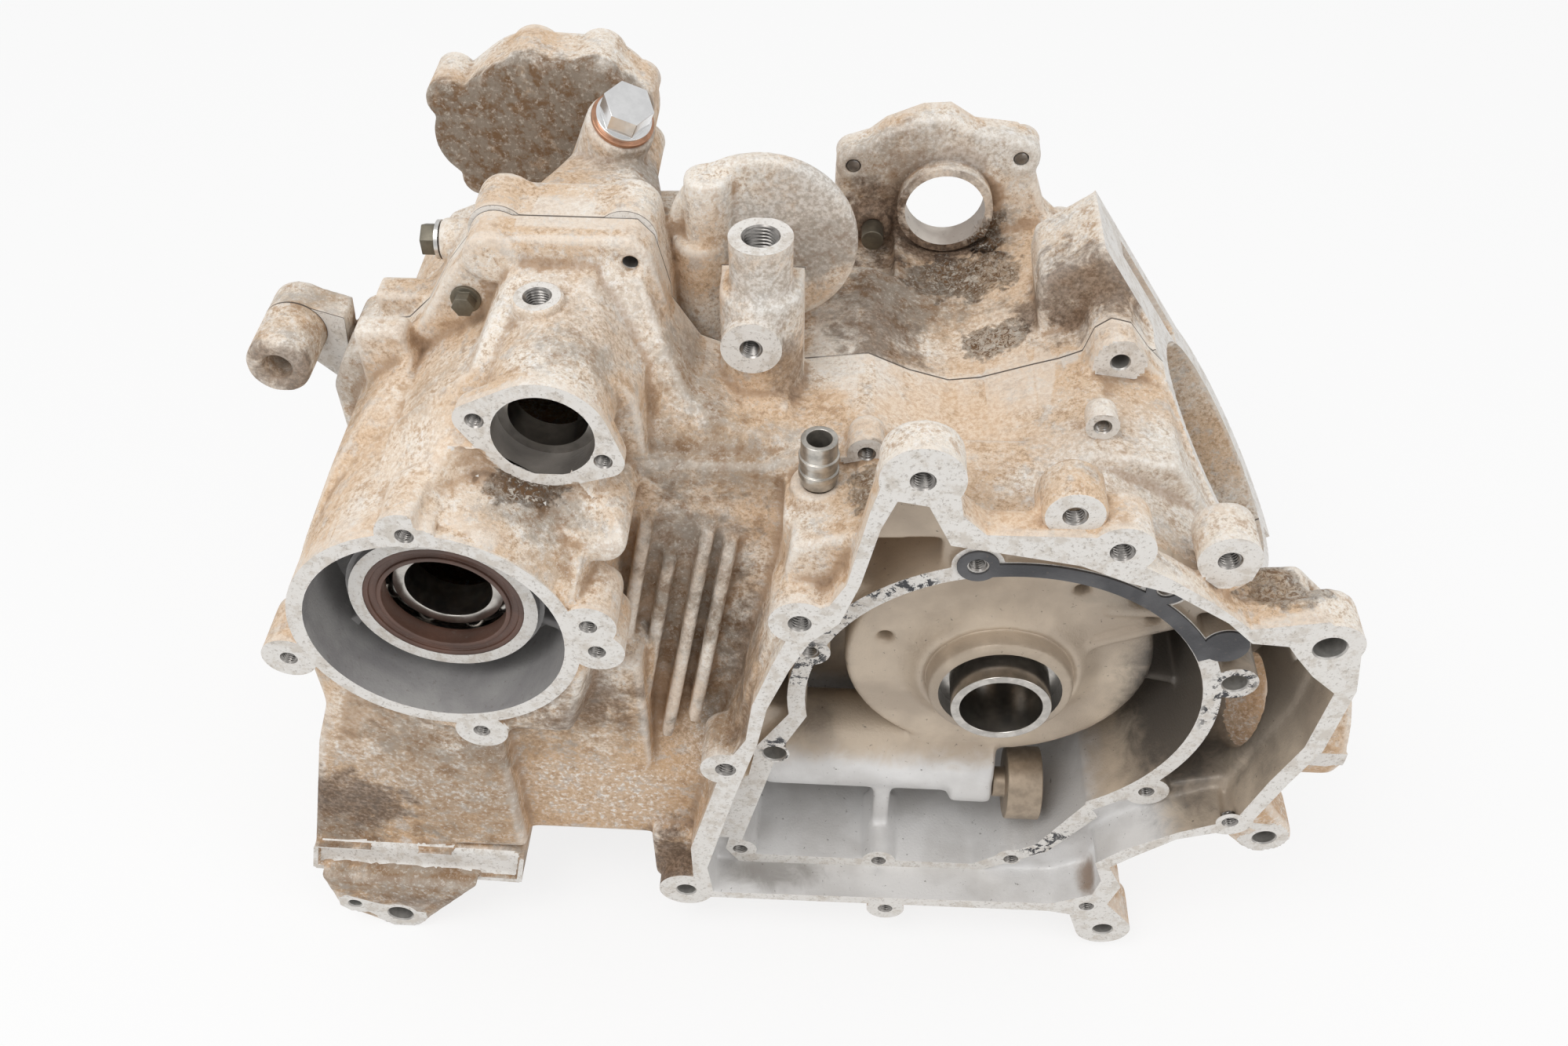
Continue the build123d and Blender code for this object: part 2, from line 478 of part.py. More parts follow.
def rear_case_half():
    body = slab(GEAR_BACK, SPLIT_Y, 25) + slab(GEAR_REAR, 20, GEAR_REAR_Y)
    for x in GEAR_REAR_RIBS:
        body += block(x - 2.5, x + 2.5, GEAR_REAR_Y - 1, GEAR_REAR_Y + 5, -20, 78)
    body += wedge(NECK_FRONT, 22, NECK_BACK, CAP_FRONT + 4)
    body += rod_y(-207, 162, 12, SPLIT_Y, 25) + rod_y(-157, 161, 12, SPLIT_Y, 25)
    body += slab(BOX, SPLIT_Y, 70) + slab(LEDGE, SPLIT_Y, 40)
    body += slab(CORE_OUTLINE, SPLIT_Y, -CORE_Y)
    body += along_cylinder(DECK_BACK_R, 20, DECK_HEIGHT) & block(-200, 200, SPLIT_Y, 100, -200, 200)
    body += slab(CHAIN_TUNNEL, 18, 60) + slab(JOINT_TOP, SPLIT_Y, 20)
    body += slab(REAR_OUTLINE, 56, REAR_Y) + slab(STARTER_PLATE, STARTER_PLATE_Y, REAR_Y)
    body += slab(CORE_OUTLINE, 50, 102) & block(-50, 46, 50, 102, 60, 130)
    body -= rod_y(STARTER_X, STARTER_Z + 13, SEAT_R, SPLIT_Y + 4, STARTER_PLATE_Y)
    for x, z, radius in REAR_SCREWS:
        body += rod_y(x, z, radius, STARTER_PLATE_Y - 1, REAR_Y)
    body += rod_y(STARTER_X, STARTER_Z, STARTER_RING_R, 90, REAR_Y)
    body += rod_y(-60, 105, 9, 94, REAR_Y)
    body += rod_y(-106, 145.5, 39, 20, 28) + rod_y(-106, 130, 30, 26, 60)
    body += rod_z(-127, 20, 9.5, 90, 178) + rod_z(-130, 20, 12, 90, 150)

    body += hull_y(CAP_CORE, CAP_FRONT, CAP_BACK)
    for x, z, radius in CAP_LOBES:
        body += rod_y(x, z, radius, CAP_FRONT, CAP_BACK)
    body += Plane(origin=PLUG_SEAT, z_dir=PLUG_AXIS) * Pos(0, 0, -22) * Cylinder(15, 44)

    body += rod_y(-299.5, 111.5, 13, -27, 16)
    body += slab([(-300, 99), (-282, 80), (-278, 117), (-299, 124)], SPLIT_Y, 16)
    body += block(-264, -240, 2, 16, 100, 128)
    body += slab([(-300, -112), (-292, -150), (-284, -168), (-270, -168), (-240, -112)], 40, 66)
    body += hull_y([(52, -134, 12), (60, -152, 13)], 30, 56)
    body += rod_x(18, 145, 9, SIDE_BOLT_X, -200)

    body -= rod_y(0, 0, CRANK_ROOM_R, SPLIT_Y, CRANK_ROOM_HALF)
    body -= slab(GEAR_ROOM, SPLIT_Y, 20) + slab(JOINT_ROOM, SPLIT_Y, 18)
    body -= slab(GEAR_REAR_ROOM, 10, GEAR_REAR_Y - 7)
    body -= slab(BOX_ROOM, SPLIT_Y, 54)
    body -= slab(CORE_ROOM, SPLIT_Y, 44) - rod_y(0, 0, DRUM_R, SPLIT_Y - 1, 50)
    body -= slab(REAR_ROOM, 74, REAR_Y + 1)
    body -= slab([(-58, 80), (-62, 130), (-40, 148), (-16, 146), (0, 128), (2, 80)], 104, REAR_Y + 1)
    body += rod_y(0, 0, HUB_R, 60, 90)
    body -= rod_y(0, 0, HUB_BORE_R, CRANK_ROOM_HALF, 91)
    body -= along_cylinder(CYLINDER_BORE_R, 40, DECK_HEIGHT + 5)
    body -= above_deck() & block(-300, 300, SPLIT_Y, 76, -300, 300)
    body -= slab([(86, 84), (50, 136), (24, 118), (44, 88)], 40, 52)
    body -= hull_y(CAP_ROOM, CAP_FRONT + 7, CAP_BACK + 1)
    return body - rear_holes()


def rear_holes():
    holes = rod_y(STARTER_X, STARTER_Z, STARTER_BORE_R, 89, REAR_Y + 1)
    holes += rod_y(-60, 105, 4.0, 90, REAR_Y + 1)
    for x, z, radius in REAR_SCREWS:
        holes += rod_y(x, z, M6_TAP_R, REAR_Y - 16, REAR_Y + 1)
    for x, z, radius in CAP_LOBES:
        holes += rod_y(x, z, M6_TAP_R, CAP_BACK - 12, CAP_BACK + 1)
    holes += rod_y(-299.5, 111.5, 5.8, -28, 17)
    holes += Plane(origin=PLUG_SEAT, z_dir=PLUG_AXIS) * Pos(0, 0, -22) * Cylinder(8, 46)
    holes += rod_y(-220, 141, 2.6, -1, 20) + rod_y(-154, 159, 2.6, -1, 20)
    holes += rod_y(39, 118, 2.6, -1, 20)
    holes += rod_x(18, 145, 4.0, SIDE_BOLT_X - 1, -205)
    for x, z in CASE_DOWELS:
        holes += rod_y(x, z, DOWEL_R, -1, DOWEL_HALF)
    return holes


def hexagon(across_flats, height):
    return extrude(RegularPolygon(across_flats / 2, 6, major_radius=False), height)


def case_bolt():
    """The one flange bolt that still joins the halves; its head faces the belt side."""
    head = Cylinder(6, 1.5, align=STANDING) + Pos(0, 0, 1.5) * hexagon(8, 5)
    shank = Pos(0, 0, -15) * Cylinder(2.95, 15, align=STANDING)
    thread = Pos(0, 0, -25) * Cylinder(2.55, 10, align=STANDING)
    return Pos(-220, -15, 141) * Rot(90, 0, 0) * (head + shank + thread)


def side_washer():
    return rod_x(18, 145, 8, SIDE_BOLT_X - 1.6, SIDE_BOLT_X) - rod_x(18, 145, 4.1, SIDE_BOLT_X - 2, -200)


def side_bolt():
    head = Pos(SIDE_BOLT_X - 7.6, 18, 145) * Rot(0, 90, 0) * hexagon(12, 6)
    return head + rod_x(18, 145, 3.9, SIDE_BOLT_X - 7, -209)


def filler_washer():
    ring = Cylinder(13.5, 2, align=STANDING) - Cylinder(8.1, 2, align=STANDING)
    return Plane(origin=PLUG_SEAT, z_dir=PLUG_AXIS) * ring


def filler_plug():
    head = Pos(0, 0, 2) * Cylinder(12, 2, align=STANDING) + Pos(0, 0, 4) * hexagon(19, 9)
    shank = Pos(0, 0, -16) * Cylinder(7.9, 19, align=STANDING)
    return Plane(origin=PLUG_SEAT, z_dir=PLUG_AXIS) * (head + shank)


def stud():
    return rod_y(-60, 105, 5, 84, 94) + rod_y(-60, 105, 3.9, 90, 110)


def hose_pipe():
    """A short beaded pipe pressed into its block; the bore runs right through."""
    wall = Pos(0, 0, 104) * Cylinder(7, 21.5, align=STANDING)
    wall += Pos(0, 0, 86) * Cylinder(6, 19, align=STANDING)
    for z in (108, 115):
        wall += Pos(0, 0, z) * Cylinder(7.8, 3, align=STANDING)
    wall -= Pos(0, 0, 85) * Cylinder(4.8, 42, align=STANDING)
    return Pos(-79, -72, 0) * wall


def output_seal():
    """A lip seal: a channel ring with its open side to the front."""
    body = ring_y(OUTPUT_X, OUTPUT_Z, SEAL_R, SEAL_LIP_R, SEAL_Y, SEAL_BACK)
    return body - ring_y(OUTPUT_X, OUTPUT_Z, SEAL_R - 2.2, SEAL_LIP_R + 2.0, SEAL_Y - 1, SEAL_Y + 1.2)


def ball_track(radius):
    """The groove ring that the balls of the output bearing run in."""
    middle = (BEARING_FRONT + BEARING_BACK) / 2
    pitch = (BEARING_R + INNER_BORE_R) / 2
    return Pos(OUTPUT_X, middle, OUTPUT_Z) * Rot(90, 0, 0) * Torus(pitch, radius)


def output_bearing_outer():
    ring = ring_y(OUTPUT_X, OUTPUT_Z, BEARING_R, OUTER_RACE_R, BEARING_FRONT, BEARING_BACK)
    return ring - ball_track(BALL_R + RUNNING_GAP)


def output_bearing_inner():
    ring = ring_y(OUTPUT_X, OUTPUT_Z, INNER_RACE_R, INNER_BORE_R, BEARING_FRONT, BEARING_BACK)
    return ring - ball_track(BALL_R + RUNNING_GAP)


def output_balls():
    """The ball set in its cage, which go round together."""
    middle = (BEARING_FRONT + BEARING_BACK) / 2
    pitch = (BEARING_R + INNER_BORE_R) / 2
    balls = ring_y(OUTPUT_X, OUTPUT_Z, pitch + 1.2, pitch - 1.2, middle - 3.5, middle + 3.5)
    for index in range(BALL_COUNT):
        turn = Rot(0, 360 / BALL_COUNT * index, 0)
        balls += Pos(OUTPUT_X, middle, OUTPUT_Z) * turn * Pos(pitch, 0, 0) * Sphere(BALL_R)
    return balls


def relief_valve():
    end = RELIEF_X + RELIEF_LENGTH
    body = rod_x(RELIEF_Y, RELIEF_Z, RELIEF_R, RELIEF_X, end)
    body += rod_x(RELIEF_Y, RELIEF_Z, 7, 6, RELIEF_X) + rod_x(RELIEF_Y, RELIEF_Z, 4.9, -8, 7)
    return body - rod_x(RELIEF_Y, RELIEF_Z, RELIEF_R - 2.5, end - 1.5, end + 1)


def gasket_remnant():
    """What is left of the inner cover gasket: a strip over the top right of the rim."""
    strip = ring_y(0, 0, RIM_R - 0.5, RIM_ROOM_R + 0.5, RIM_Y - GASKET_T, RIM_Y)
    strip &= slab([(0, 0), (-24, 128), (30, 140), (96, 120), (122, 60)], RIM_Y - 2, RIM_Y)
    strip += rod_y(*GASKET_END, 9, RIM_Y - GASKET_T, RIM_Y) - rod_y(0, 0, RIM_ROOM_R + 0.5, RIM_Y - 2, RIM_Y)
    for x, z in RIM_SCREWS[1:3]:
        strip += rod_y(x, z, 8, RIM_Y - GASKET_T, RIM_Y)
    for x, z in RIM_SCREWS[1:3]:
        strip -= rod_y(x, z, 4.2, RIM_Y - 2, RIM_Y + 1)
    return strip


def case_dowels():
    dowels = [ring_y(x, z, DOWEL_R, 2.6, -DOWEL_HALF, DOWEL_HALF) for x, z in CASE_DOWELS]
    return Compound(children=dowels)


parts = {
    "front_case_half": front_case_half(),
    "rear_case_half": rear_case_half(),
    "case_bolt": case_bolt(),
    "side_bolt": side_bolt(),
    "side_washer": side_washer(),
    "filler_plug": filler_plug(),
    "filler_washer": filler_washer(),
    "stud": stud(),
    "hose_pipe": hose_pipe(),
    "output_seal": output_seal(),
    "output_bearing_outer": output_bearing_outer(),
    "output_bearing_inner": output_bearing_inner(),
    "output_balls": output_balls(),
    "idler_race": ring_y(IDLER_X, IDLER_Z, IDLER_BORE_R, IDLER_RACE_BORE_R, -72, -60),
    "front_main_bush": ring_y(0, 0, HUB_BORE_R, BUSH_R, BUSH_FRONT, BUSH_BACK),
    "rear_main_bush": ring_y(0, 0, HUB_BORE_R, BUSH_R, -BUSH_BACK, -BUSH_FRONT),
    "crank_sleeve": ring_y(0, 0, SLEEVE_R, SLEEVE_BORE_R, SLEEVE_FRONT, SLEEVE_BACK),
    "relief_valve": relief_valve(),
    "gasket_remnant": gasket_remnant(),
    "case_dowels": case_dowels(),
}
# The pieces are handed over with the origin on the floor, under the middle of the whole part.
box = Compound(list(parts.values())).bounding_box()
to_floor = Pos(-(box.min.X + box.max.X) / 2, -(box.min.Y + box.max.Y) / 2, -box.min.Z)
for name, part in parts.items():
    export_step(to_floor * part, f"parts/{name}.step")
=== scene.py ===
import bmesh
import bpy
import json
import math
import numpy as np
from mathutils import Euler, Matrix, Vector, noise


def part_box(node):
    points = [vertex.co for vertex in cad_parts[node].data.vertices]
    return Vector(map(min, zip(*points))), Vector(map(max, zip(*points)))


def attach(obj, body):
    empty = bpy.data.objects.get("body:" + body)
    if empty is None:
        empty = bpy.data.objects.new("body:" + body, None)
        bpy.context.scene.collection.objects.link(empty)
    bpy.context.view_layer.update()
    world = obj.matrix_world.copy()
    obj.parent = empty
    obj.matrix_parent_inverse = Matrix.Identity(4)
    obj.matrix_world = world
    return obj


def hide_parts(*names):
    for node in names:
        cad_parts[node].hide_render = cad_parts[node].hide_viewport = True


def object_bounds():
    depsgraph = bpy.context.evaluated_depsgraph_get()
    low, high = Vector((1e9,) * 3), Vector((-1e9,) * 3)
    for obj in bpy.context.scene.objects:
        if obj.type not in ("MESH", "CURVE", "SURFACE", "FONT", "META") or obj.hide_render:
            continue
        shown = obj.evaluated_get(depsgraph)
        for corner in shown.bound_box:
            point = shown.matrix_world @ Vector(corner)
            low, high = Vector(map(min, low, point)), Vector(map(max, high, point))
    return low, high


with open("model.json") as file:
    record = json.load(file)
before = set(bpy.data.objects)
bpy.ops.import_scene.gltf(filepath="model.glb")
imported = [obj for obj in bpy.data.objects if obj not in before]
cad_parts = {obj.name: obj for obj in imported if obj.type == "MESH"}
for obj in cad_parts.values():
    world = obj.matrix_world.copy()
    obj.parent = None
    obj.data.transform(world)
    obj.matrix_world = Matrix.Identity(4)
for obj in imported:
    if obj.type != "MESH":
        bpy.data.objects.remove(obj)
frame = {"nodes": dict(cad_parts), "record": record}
cad_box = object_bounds()

# Places below are millimetres from the crankshaft axis, where it crosses the joint between the
# two case halves: X right, Y back, Z up. at() turns them into the frame's metres.
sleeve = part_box("crank_sleeve")
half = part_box("front_case_half")
CRANK = Vector(((sleeve[0][0] + sleeve[1][0]) / 2, half[1][1], (sleeve[0][2] + sleeve[1][2]) / 2))
MM = 0.001
COVER_Y = -114.0
RIM_Y = -97.0
DECK_TILT = math.radians(34)
DECK_HEIGHT = 110.0
OUTPUT = (-226.0, 53.0)
IDLER = (-179.0, 132.0)
STARTER = (-28.0, 118.0)
IDLER_Y = -84.0
DRUM_Y = -73.0
OUTPUT_SEAT_Y = -98.0
GENERATOR_Y = 112.0
GEAR_REAR_Y = 126.0
# How near to a machined face a point counts as lying on it, in millimetres
NEAR = 0.35
# The belt-side cover joint, seen along Y as x, z: the middle of its wall
COVER_WALL = [
    (-129, -137), (36, -134), (58, -131), (61, -110), (56, -94), (65, -82), (84, -66), (109, -54), (117, -22),
    (123, 3), (125, 41), (117, 57), (104, 71), (84, 71), (70, 84), (50, 97), (36, 103), (23, 114), (-13, 116),
    (-30, 121), (-36, 146), (-52, 146), (-58, 127), (-65, 92), (-71, 75), (-84, 64), (-89, 50), (-92, 41),
    (-100, 15), (-104, -9), (-112, -31), (-117, -50), (-130, -104),
]

# Lower left part of the inner joint
RIM_FOOT = [
    (-88, -10), (-103, -36), (-107, -60), (-119, -122), (-113, -133), (2, -133), (16, -124), (34, -112),
    (53, -80), (0, 0),
]

# The belt side's rooms: where the recess, the pockets and the round room end along Y, and the radii that
# the round room and the wall round it reach
RECESS_Y = -92.5
POCKET_FLOOR_Y = -47
ROOM_FLOOR_Y = -30
ROOM_REACH = 86
RIM_REACH = 101.5

# Milled ledge under the output housing, as its limits in X and Z and how far it lies behind the cover joint
LEDGE_X = (-316, -214)
LEDGE_Z = (-132, -108)
LEDGE_BACK = 3

# Bored and turned walls: axis, radii, and where they start and end along Y
BORES = [
    ((0, 0), (61,), -50, 50), ((0, 0), (26,), -92, -48), ((0, 0), (26,), 48, 92),
    (OUTPUT, (50.7, 57, 37.5, 39.5, 32, 36, 30), -115, -70),
    (IDLER, (19,), -85, -48),
    (STARTER, (18, 21.5), 88, 113),
]

# The gear housing round the idler bore: radius of the bore's flange, how far behind it the housing starts,
# where and how steeply the housing comes forward again, and how far out that goes
FLANGE_R = 24.5
FLANGE_STAND = 2.5
NOSE_RISE_R = 33
NOSE_RISE = 1.3
NOSE_REACH = 58
NOSE_X = (-222, -150)
OUTPUT_REACH = 60

# The foot of the hub: radii where it starts and where it meets the drum, the width of its curve, its height
HUB_R = 31.3
FOOT_R = 47
FOOT_WIDTH = 15
FOOT_HEIGHT = 13.0

# How finely a casting is remade, how often its cast faces and the measure of its hollows are smoothed, and
# how many triangles it is thinned out to
REMESH_DEPTH = 9
CAST_ROUNDS = 16
HOLLOW_ROUNDS = 28
CASTING_TRIANGLES = 195000

# Levels of the white world: the light that it gives, and what the camera sees of it
WORLD_LIGHT = 0.75
WORLD_SEEN = 0.96

# Screw threads: largest radius and pitch
M6 = (3.0, 1.0)
M8 = (4.0, 1.25)
M10 = (5.0, 1.25)
M14 = (7.0, 1.5)
FRONT = (0, -1, 0)
BACK = (0, 1, 0)
UP = (0, 0, 1)
# Tapped holes: place, way that the mouth faces, thread, depth, radius of the bright seat round it
SCREW_HOLES = [
    ((-115, COVER_Y, -30), FRONT, M8, 16, 7.5), ((-84, COVER_Y, 69), FRONT, M8, 16, 7.5),
    ((-43, COVER_Y, 146), FRONT, M8, 16, 8.5), ((29, COVER_Y, 115), FRONT, M8, 16, 7.5),
    ((104, COVER_Y, -53), FRONT, M6, 4, 6.0), ((54, COVER_Y, -131), FRONT, M6, 14, 6.0),
    ((-41, COVER_Y, -142), FRONT, M6, 14, 6.0),
    ((11, -110, 128), FRONT, M8, 12, 10.5), ((71, -104, 102), FRONT, M8, 12, 10.6),
    ((-61, -62, 109), FRONT, M6, 12, 6.5), ((28, -52, 118), FRONT, M6, 12, 5.5),
    ((-107, -31, 133), FRONT, M8, 11, 9.0),
    ((-203, -84, 139), FRONT, M6, 13, 4.8), ((-158, -84, 121), FRONT, M6, 13, 4.8),
    ((-186, -36, 159), UP, M10, 17, 8.8), ((-104, -12, 172), UP, M14, 18, 10.5),
]
SCREW_HOLES += [((x, COVER_Y, z), FRONT, M6, 14, 6.2)
                for x, z in ((-227, 109), (-288, 35), (-217, -9), (-165, 62), (-163, 47))]
SCREW_HOLES += [((x, RIM_Y, z), FRONT, M6, 14, 4.6)
                for x, z in ((-80, 31), (-18, 87), (54, 78), (71, -58), (18, -120), (-45, -127),
                             (-112, -122))]
SCREW_HOLES += [((x, GENERATOR_Y, z), BACK, M6, 14, 5.5)
                for x, z in ((-70, 135), (4, 141), (27, 100), (84, 38), (88, -42), (30, -105), (-50, -106),
                             (-99, -60), (-101, 30))]
SCREW_HOLES += [((x, GEAR_REAR_Y, z), BACK, M6, 11, 5.5)
                for x, z in ((-250, 161), (-212, 172), (-183, 172), (-167, 160), (-168, 128), (-240, 122),
                             (-204, 116))]
# Plain holes: place, way that the mouth faces, radius, depth, radius of the seat round it
PLAIN_HOLES = [
    ((-137, COVER_Y, -133), FRONT, 4.4, 16, 7.5), ((114, COVER_Y, 67), FRONT, 6.0, 20, 8.2),
    ((65, COVER_Y, -152), FRONT, 4.5, 22, 7.5), ((127, -104, -80), FRONT, 5.0, 24, 7.5),
    ((-95, RIM_Y, -41), FRONT, 5.0, 9, 6.6), ((92, RIM_Y, 22), FRONT, 5.0, 9, 6.6),
    ((-154, -12, 159), FRONT, 3.6, 24, 6.8), ((39, -13, 118), FRONT, 3.6, 24, 6.8),
    ((-300, -121, -149), FRONT, 3.0, 18, 4.4), ((-279, -121, -157), FRONT, 6.0, 40, 9.0),
]

# Bosses that stand on the casting round a hole: length, and how much wider than the seat
COLLARS = {(11, -110, 128): (16, 1.0), (-186, -36, 159): (12, 1.2)}
# How far a bright seat stands proud of its boss, and how wide the lead-in of its hole is
SEAT_PROUD = 0.07
LEAD_IN = 0.55


def at(x, y, z):
    return CRANK + Vector((x, y, z)) * MM


class Paint:
    """A material whose nodes are made one at a time, in object coordinates (metres)."""

    def __init__(self, name, roughness, metallic=0.0, colour=(0.8, 0.8, 0.8)):
        self.material = bpy.data.materials.new(name)
        self.material.use_nodes = True
        self.tree = self.material.node_tree
        self.shader = self.tree.nodes["Principled BSDF"]
        self.shader.inputs["Roughness"].default_value = roughness
        self.shader.inputs["Metallic"].default_value = metallic
        self.shader.inputs["Base Color"].default_value = (*colour, 1)
        self.place = self.tree.nodes.new("ShaderNodeTexCoord").outputs["Object"]

    def feed(self, socket, value):
        if isinstance(value, bpy.types.NodeSocket):
            self.tree.links.new(value, socket)
        elif isinstance(value, tuple) and len(value) == 3 and socket.type == "RGBA":
            socket.default_value = (*value, 1)
        else:
            socket.default_value = value

    def noise(self, size, detail=4.0, roughness=0.55, distortion=0.0, shift=0.0):
        """Noise between 0 and 1 whose features are about size millimetres across."""
        node = self.tree.nodes.new("ShaderNodeTexNoise")
        node.inputs["Scale"].default_value = 1000.0 / size
        node.inputs["Detail"].default_value = detail
        node.inputs["Roughness"].default_value = roughness
        node.inputs["Distortion"].default_value = distortion
        if shift:
            moved = self.tree.nodes.new("ShaderNodeVectorMath")
            moved.operation = "ADD"
            self.feed(moved.inputs[0], self.place)
            moved.inputs[1].default_value = (shift, shift * 0.7, -shift)
            self.feed(node.inputs["Vector"], moved.outputs[0])
        else:
            self.feed(node.inputs["Vector"], self.place)
        return node.outputs["Fac"]

    def ramp(self, value, low, high, out_low=0.0, out_high=1.0):
        node = self.tree.nodes.new("ShaderNodeMapRange")
        node.interpolation_type = "SMOOTHSTEP"
        self.feed(node.inputs["Value"], value)
        node.inputs["From Min"].default_value = low
        node.inputs["From Max"].default_value = high
        node.inputs["To Min"].default_value = out_low
        node.inputs["To Max"].default_value = out_high
        return node.outputs["Result"]

    def math(self, operation, a, b=0.0):
        node = self.tree.nodes.new("ShaderNodeMath")
        node.operation = operation
        self.feed(node.inputs[0], a)
        self.feed(node.inputs[1], b)
        return node.outputs[0]

    def mix(self, mask, a, b):
        node = self.tree.nodes.new("ShaderNodeMix")
        node.data_type = "RGBA"
        self.feed(node.inputs[0], mask)
        self.feed(node.inputs[6], a)
        self.feed(node.inputs[7], b)
        return node.outputs[2]

    def spot(self, centre, size, ragged, wobble=3.6, edge=0.35):
        """A mask that is 1 inside an ellipsoid and falls off past it, its edge broken by noise."""
        node = self.tree.nodes.new("ShaderNodeVectorMath")
        node.operation = "SUBTRACT"
        self.feed(node.inputs[0], self.place)
        node.inputs[1].default_value = at(*centre)
        scaled = self.tree.nodes.new("ShaderNodeVectorMath")
        scaled.operation = "DIVIDE"
        self.feed(scaled.inputs[0], node.outputs[0])
        scaled.inputs[1].default_value = Vector(size) * MM
        length = self.tree.nodes.new("ShaderNodeVectorMath")
        length.operation = "LENGTH"
        self.feed(length.inputs[0], scaled.outputs[0])
        reach = self.math("ADD", length.outputs["Value"], self.math("MULTIPLY", ragged, wobble))
        return self.ramp(reach, 1.0 + wobble / 2 - edge, 1.0 + wobble / 2 + edge, 1.0, 0.0)

    def bump(self, height, distance, strength=1.0, normal=None):
        node = self.tree.nodes.new("ShaderNodeBump")
        node.inputs["Strength"].default_value = strength
        node.inputs["Distance"].default_value = distance
        self.feed(node.inputs["Height"], height)
        if normal is not None:
            self.feed(node.inputs["Normal"], normal)
        return node.outputs["Normal"]

    def finish(self, colour=None, roughness=None, normal=None):
        if colour is not None:
            self.feed(self.shader.inputs["Base Color"], colour)
        if roughness is not None:
            self.feed(self.shader.inputs["Roughness"], roughness)
        if normal is not None:
            self.feed(self.shader.inputs["Normal"], normal)
        return self.material


# Stains in the belt room, and painted shade in the sump's pockets: centre, size, amount, colour
BELT_STAINS_AND_SHADE = [
    ((84, -60, -14), (28, 60, 60), 0.92, (0.09, 0.08, 0.07)),
    ((116, -60, 4), (16, 50, 50), 0.6, (0.20, 0.17, 0.14)),
    ((0, -92, 0), (38, 9, 38), 0.55, (0.30, 0.24, 0.18)),
    ((-80, -60, -20), (16, 60, 40), 0.6, (0.16, 0.14, 0.12)),
    # The next two are painted shade in the pockets of the sump
    ((-88, -30, -108), (26, 10, 18), 0.6, (0.30, 0.28, 0.27)),
    ((-20, -30, -108), (22, 10, 16), 0.55, (0.34, 0.32, 0.30)),
    ((60, -104, -122), (10, 12, 8), 0.8, (0.20, 0.11, 0.05)),
    ((-95, -100, -137), (26, 14, 6), 0.6, (0.12, 0.10, 0.08)),
    ((60, -70, 62), (34, 40, 26), 0.5, (0.24, 0.21, 0.18)),
]

# Where scraps of the gasket are left: centre, size
GASKET_SCRAPS = [
    ((-84, RIM_Y, 24), (12, 3, 16)), ((-70, RIM_Y, 54), (12, 3, 14)), ((-48, RIM_Y, 74), (16, 3, 10)),
    ((-92, RIM_Y, -38), (9, 3, 10)), ((92, RIM_Y, 10), (10, 3, 26)), ((40, RIM_Y, -106), (20, 3, 12)),
]

TAN = (0.68, 0.50, 0.34)
PALE = (0.80, 0.72, 0.62)
GREY = (0.50, 0.47, 0.44)
DARK = (0.095, 0.06, 0.038)
WHITE_CRUST = (0.84, 0.81, 0.77)


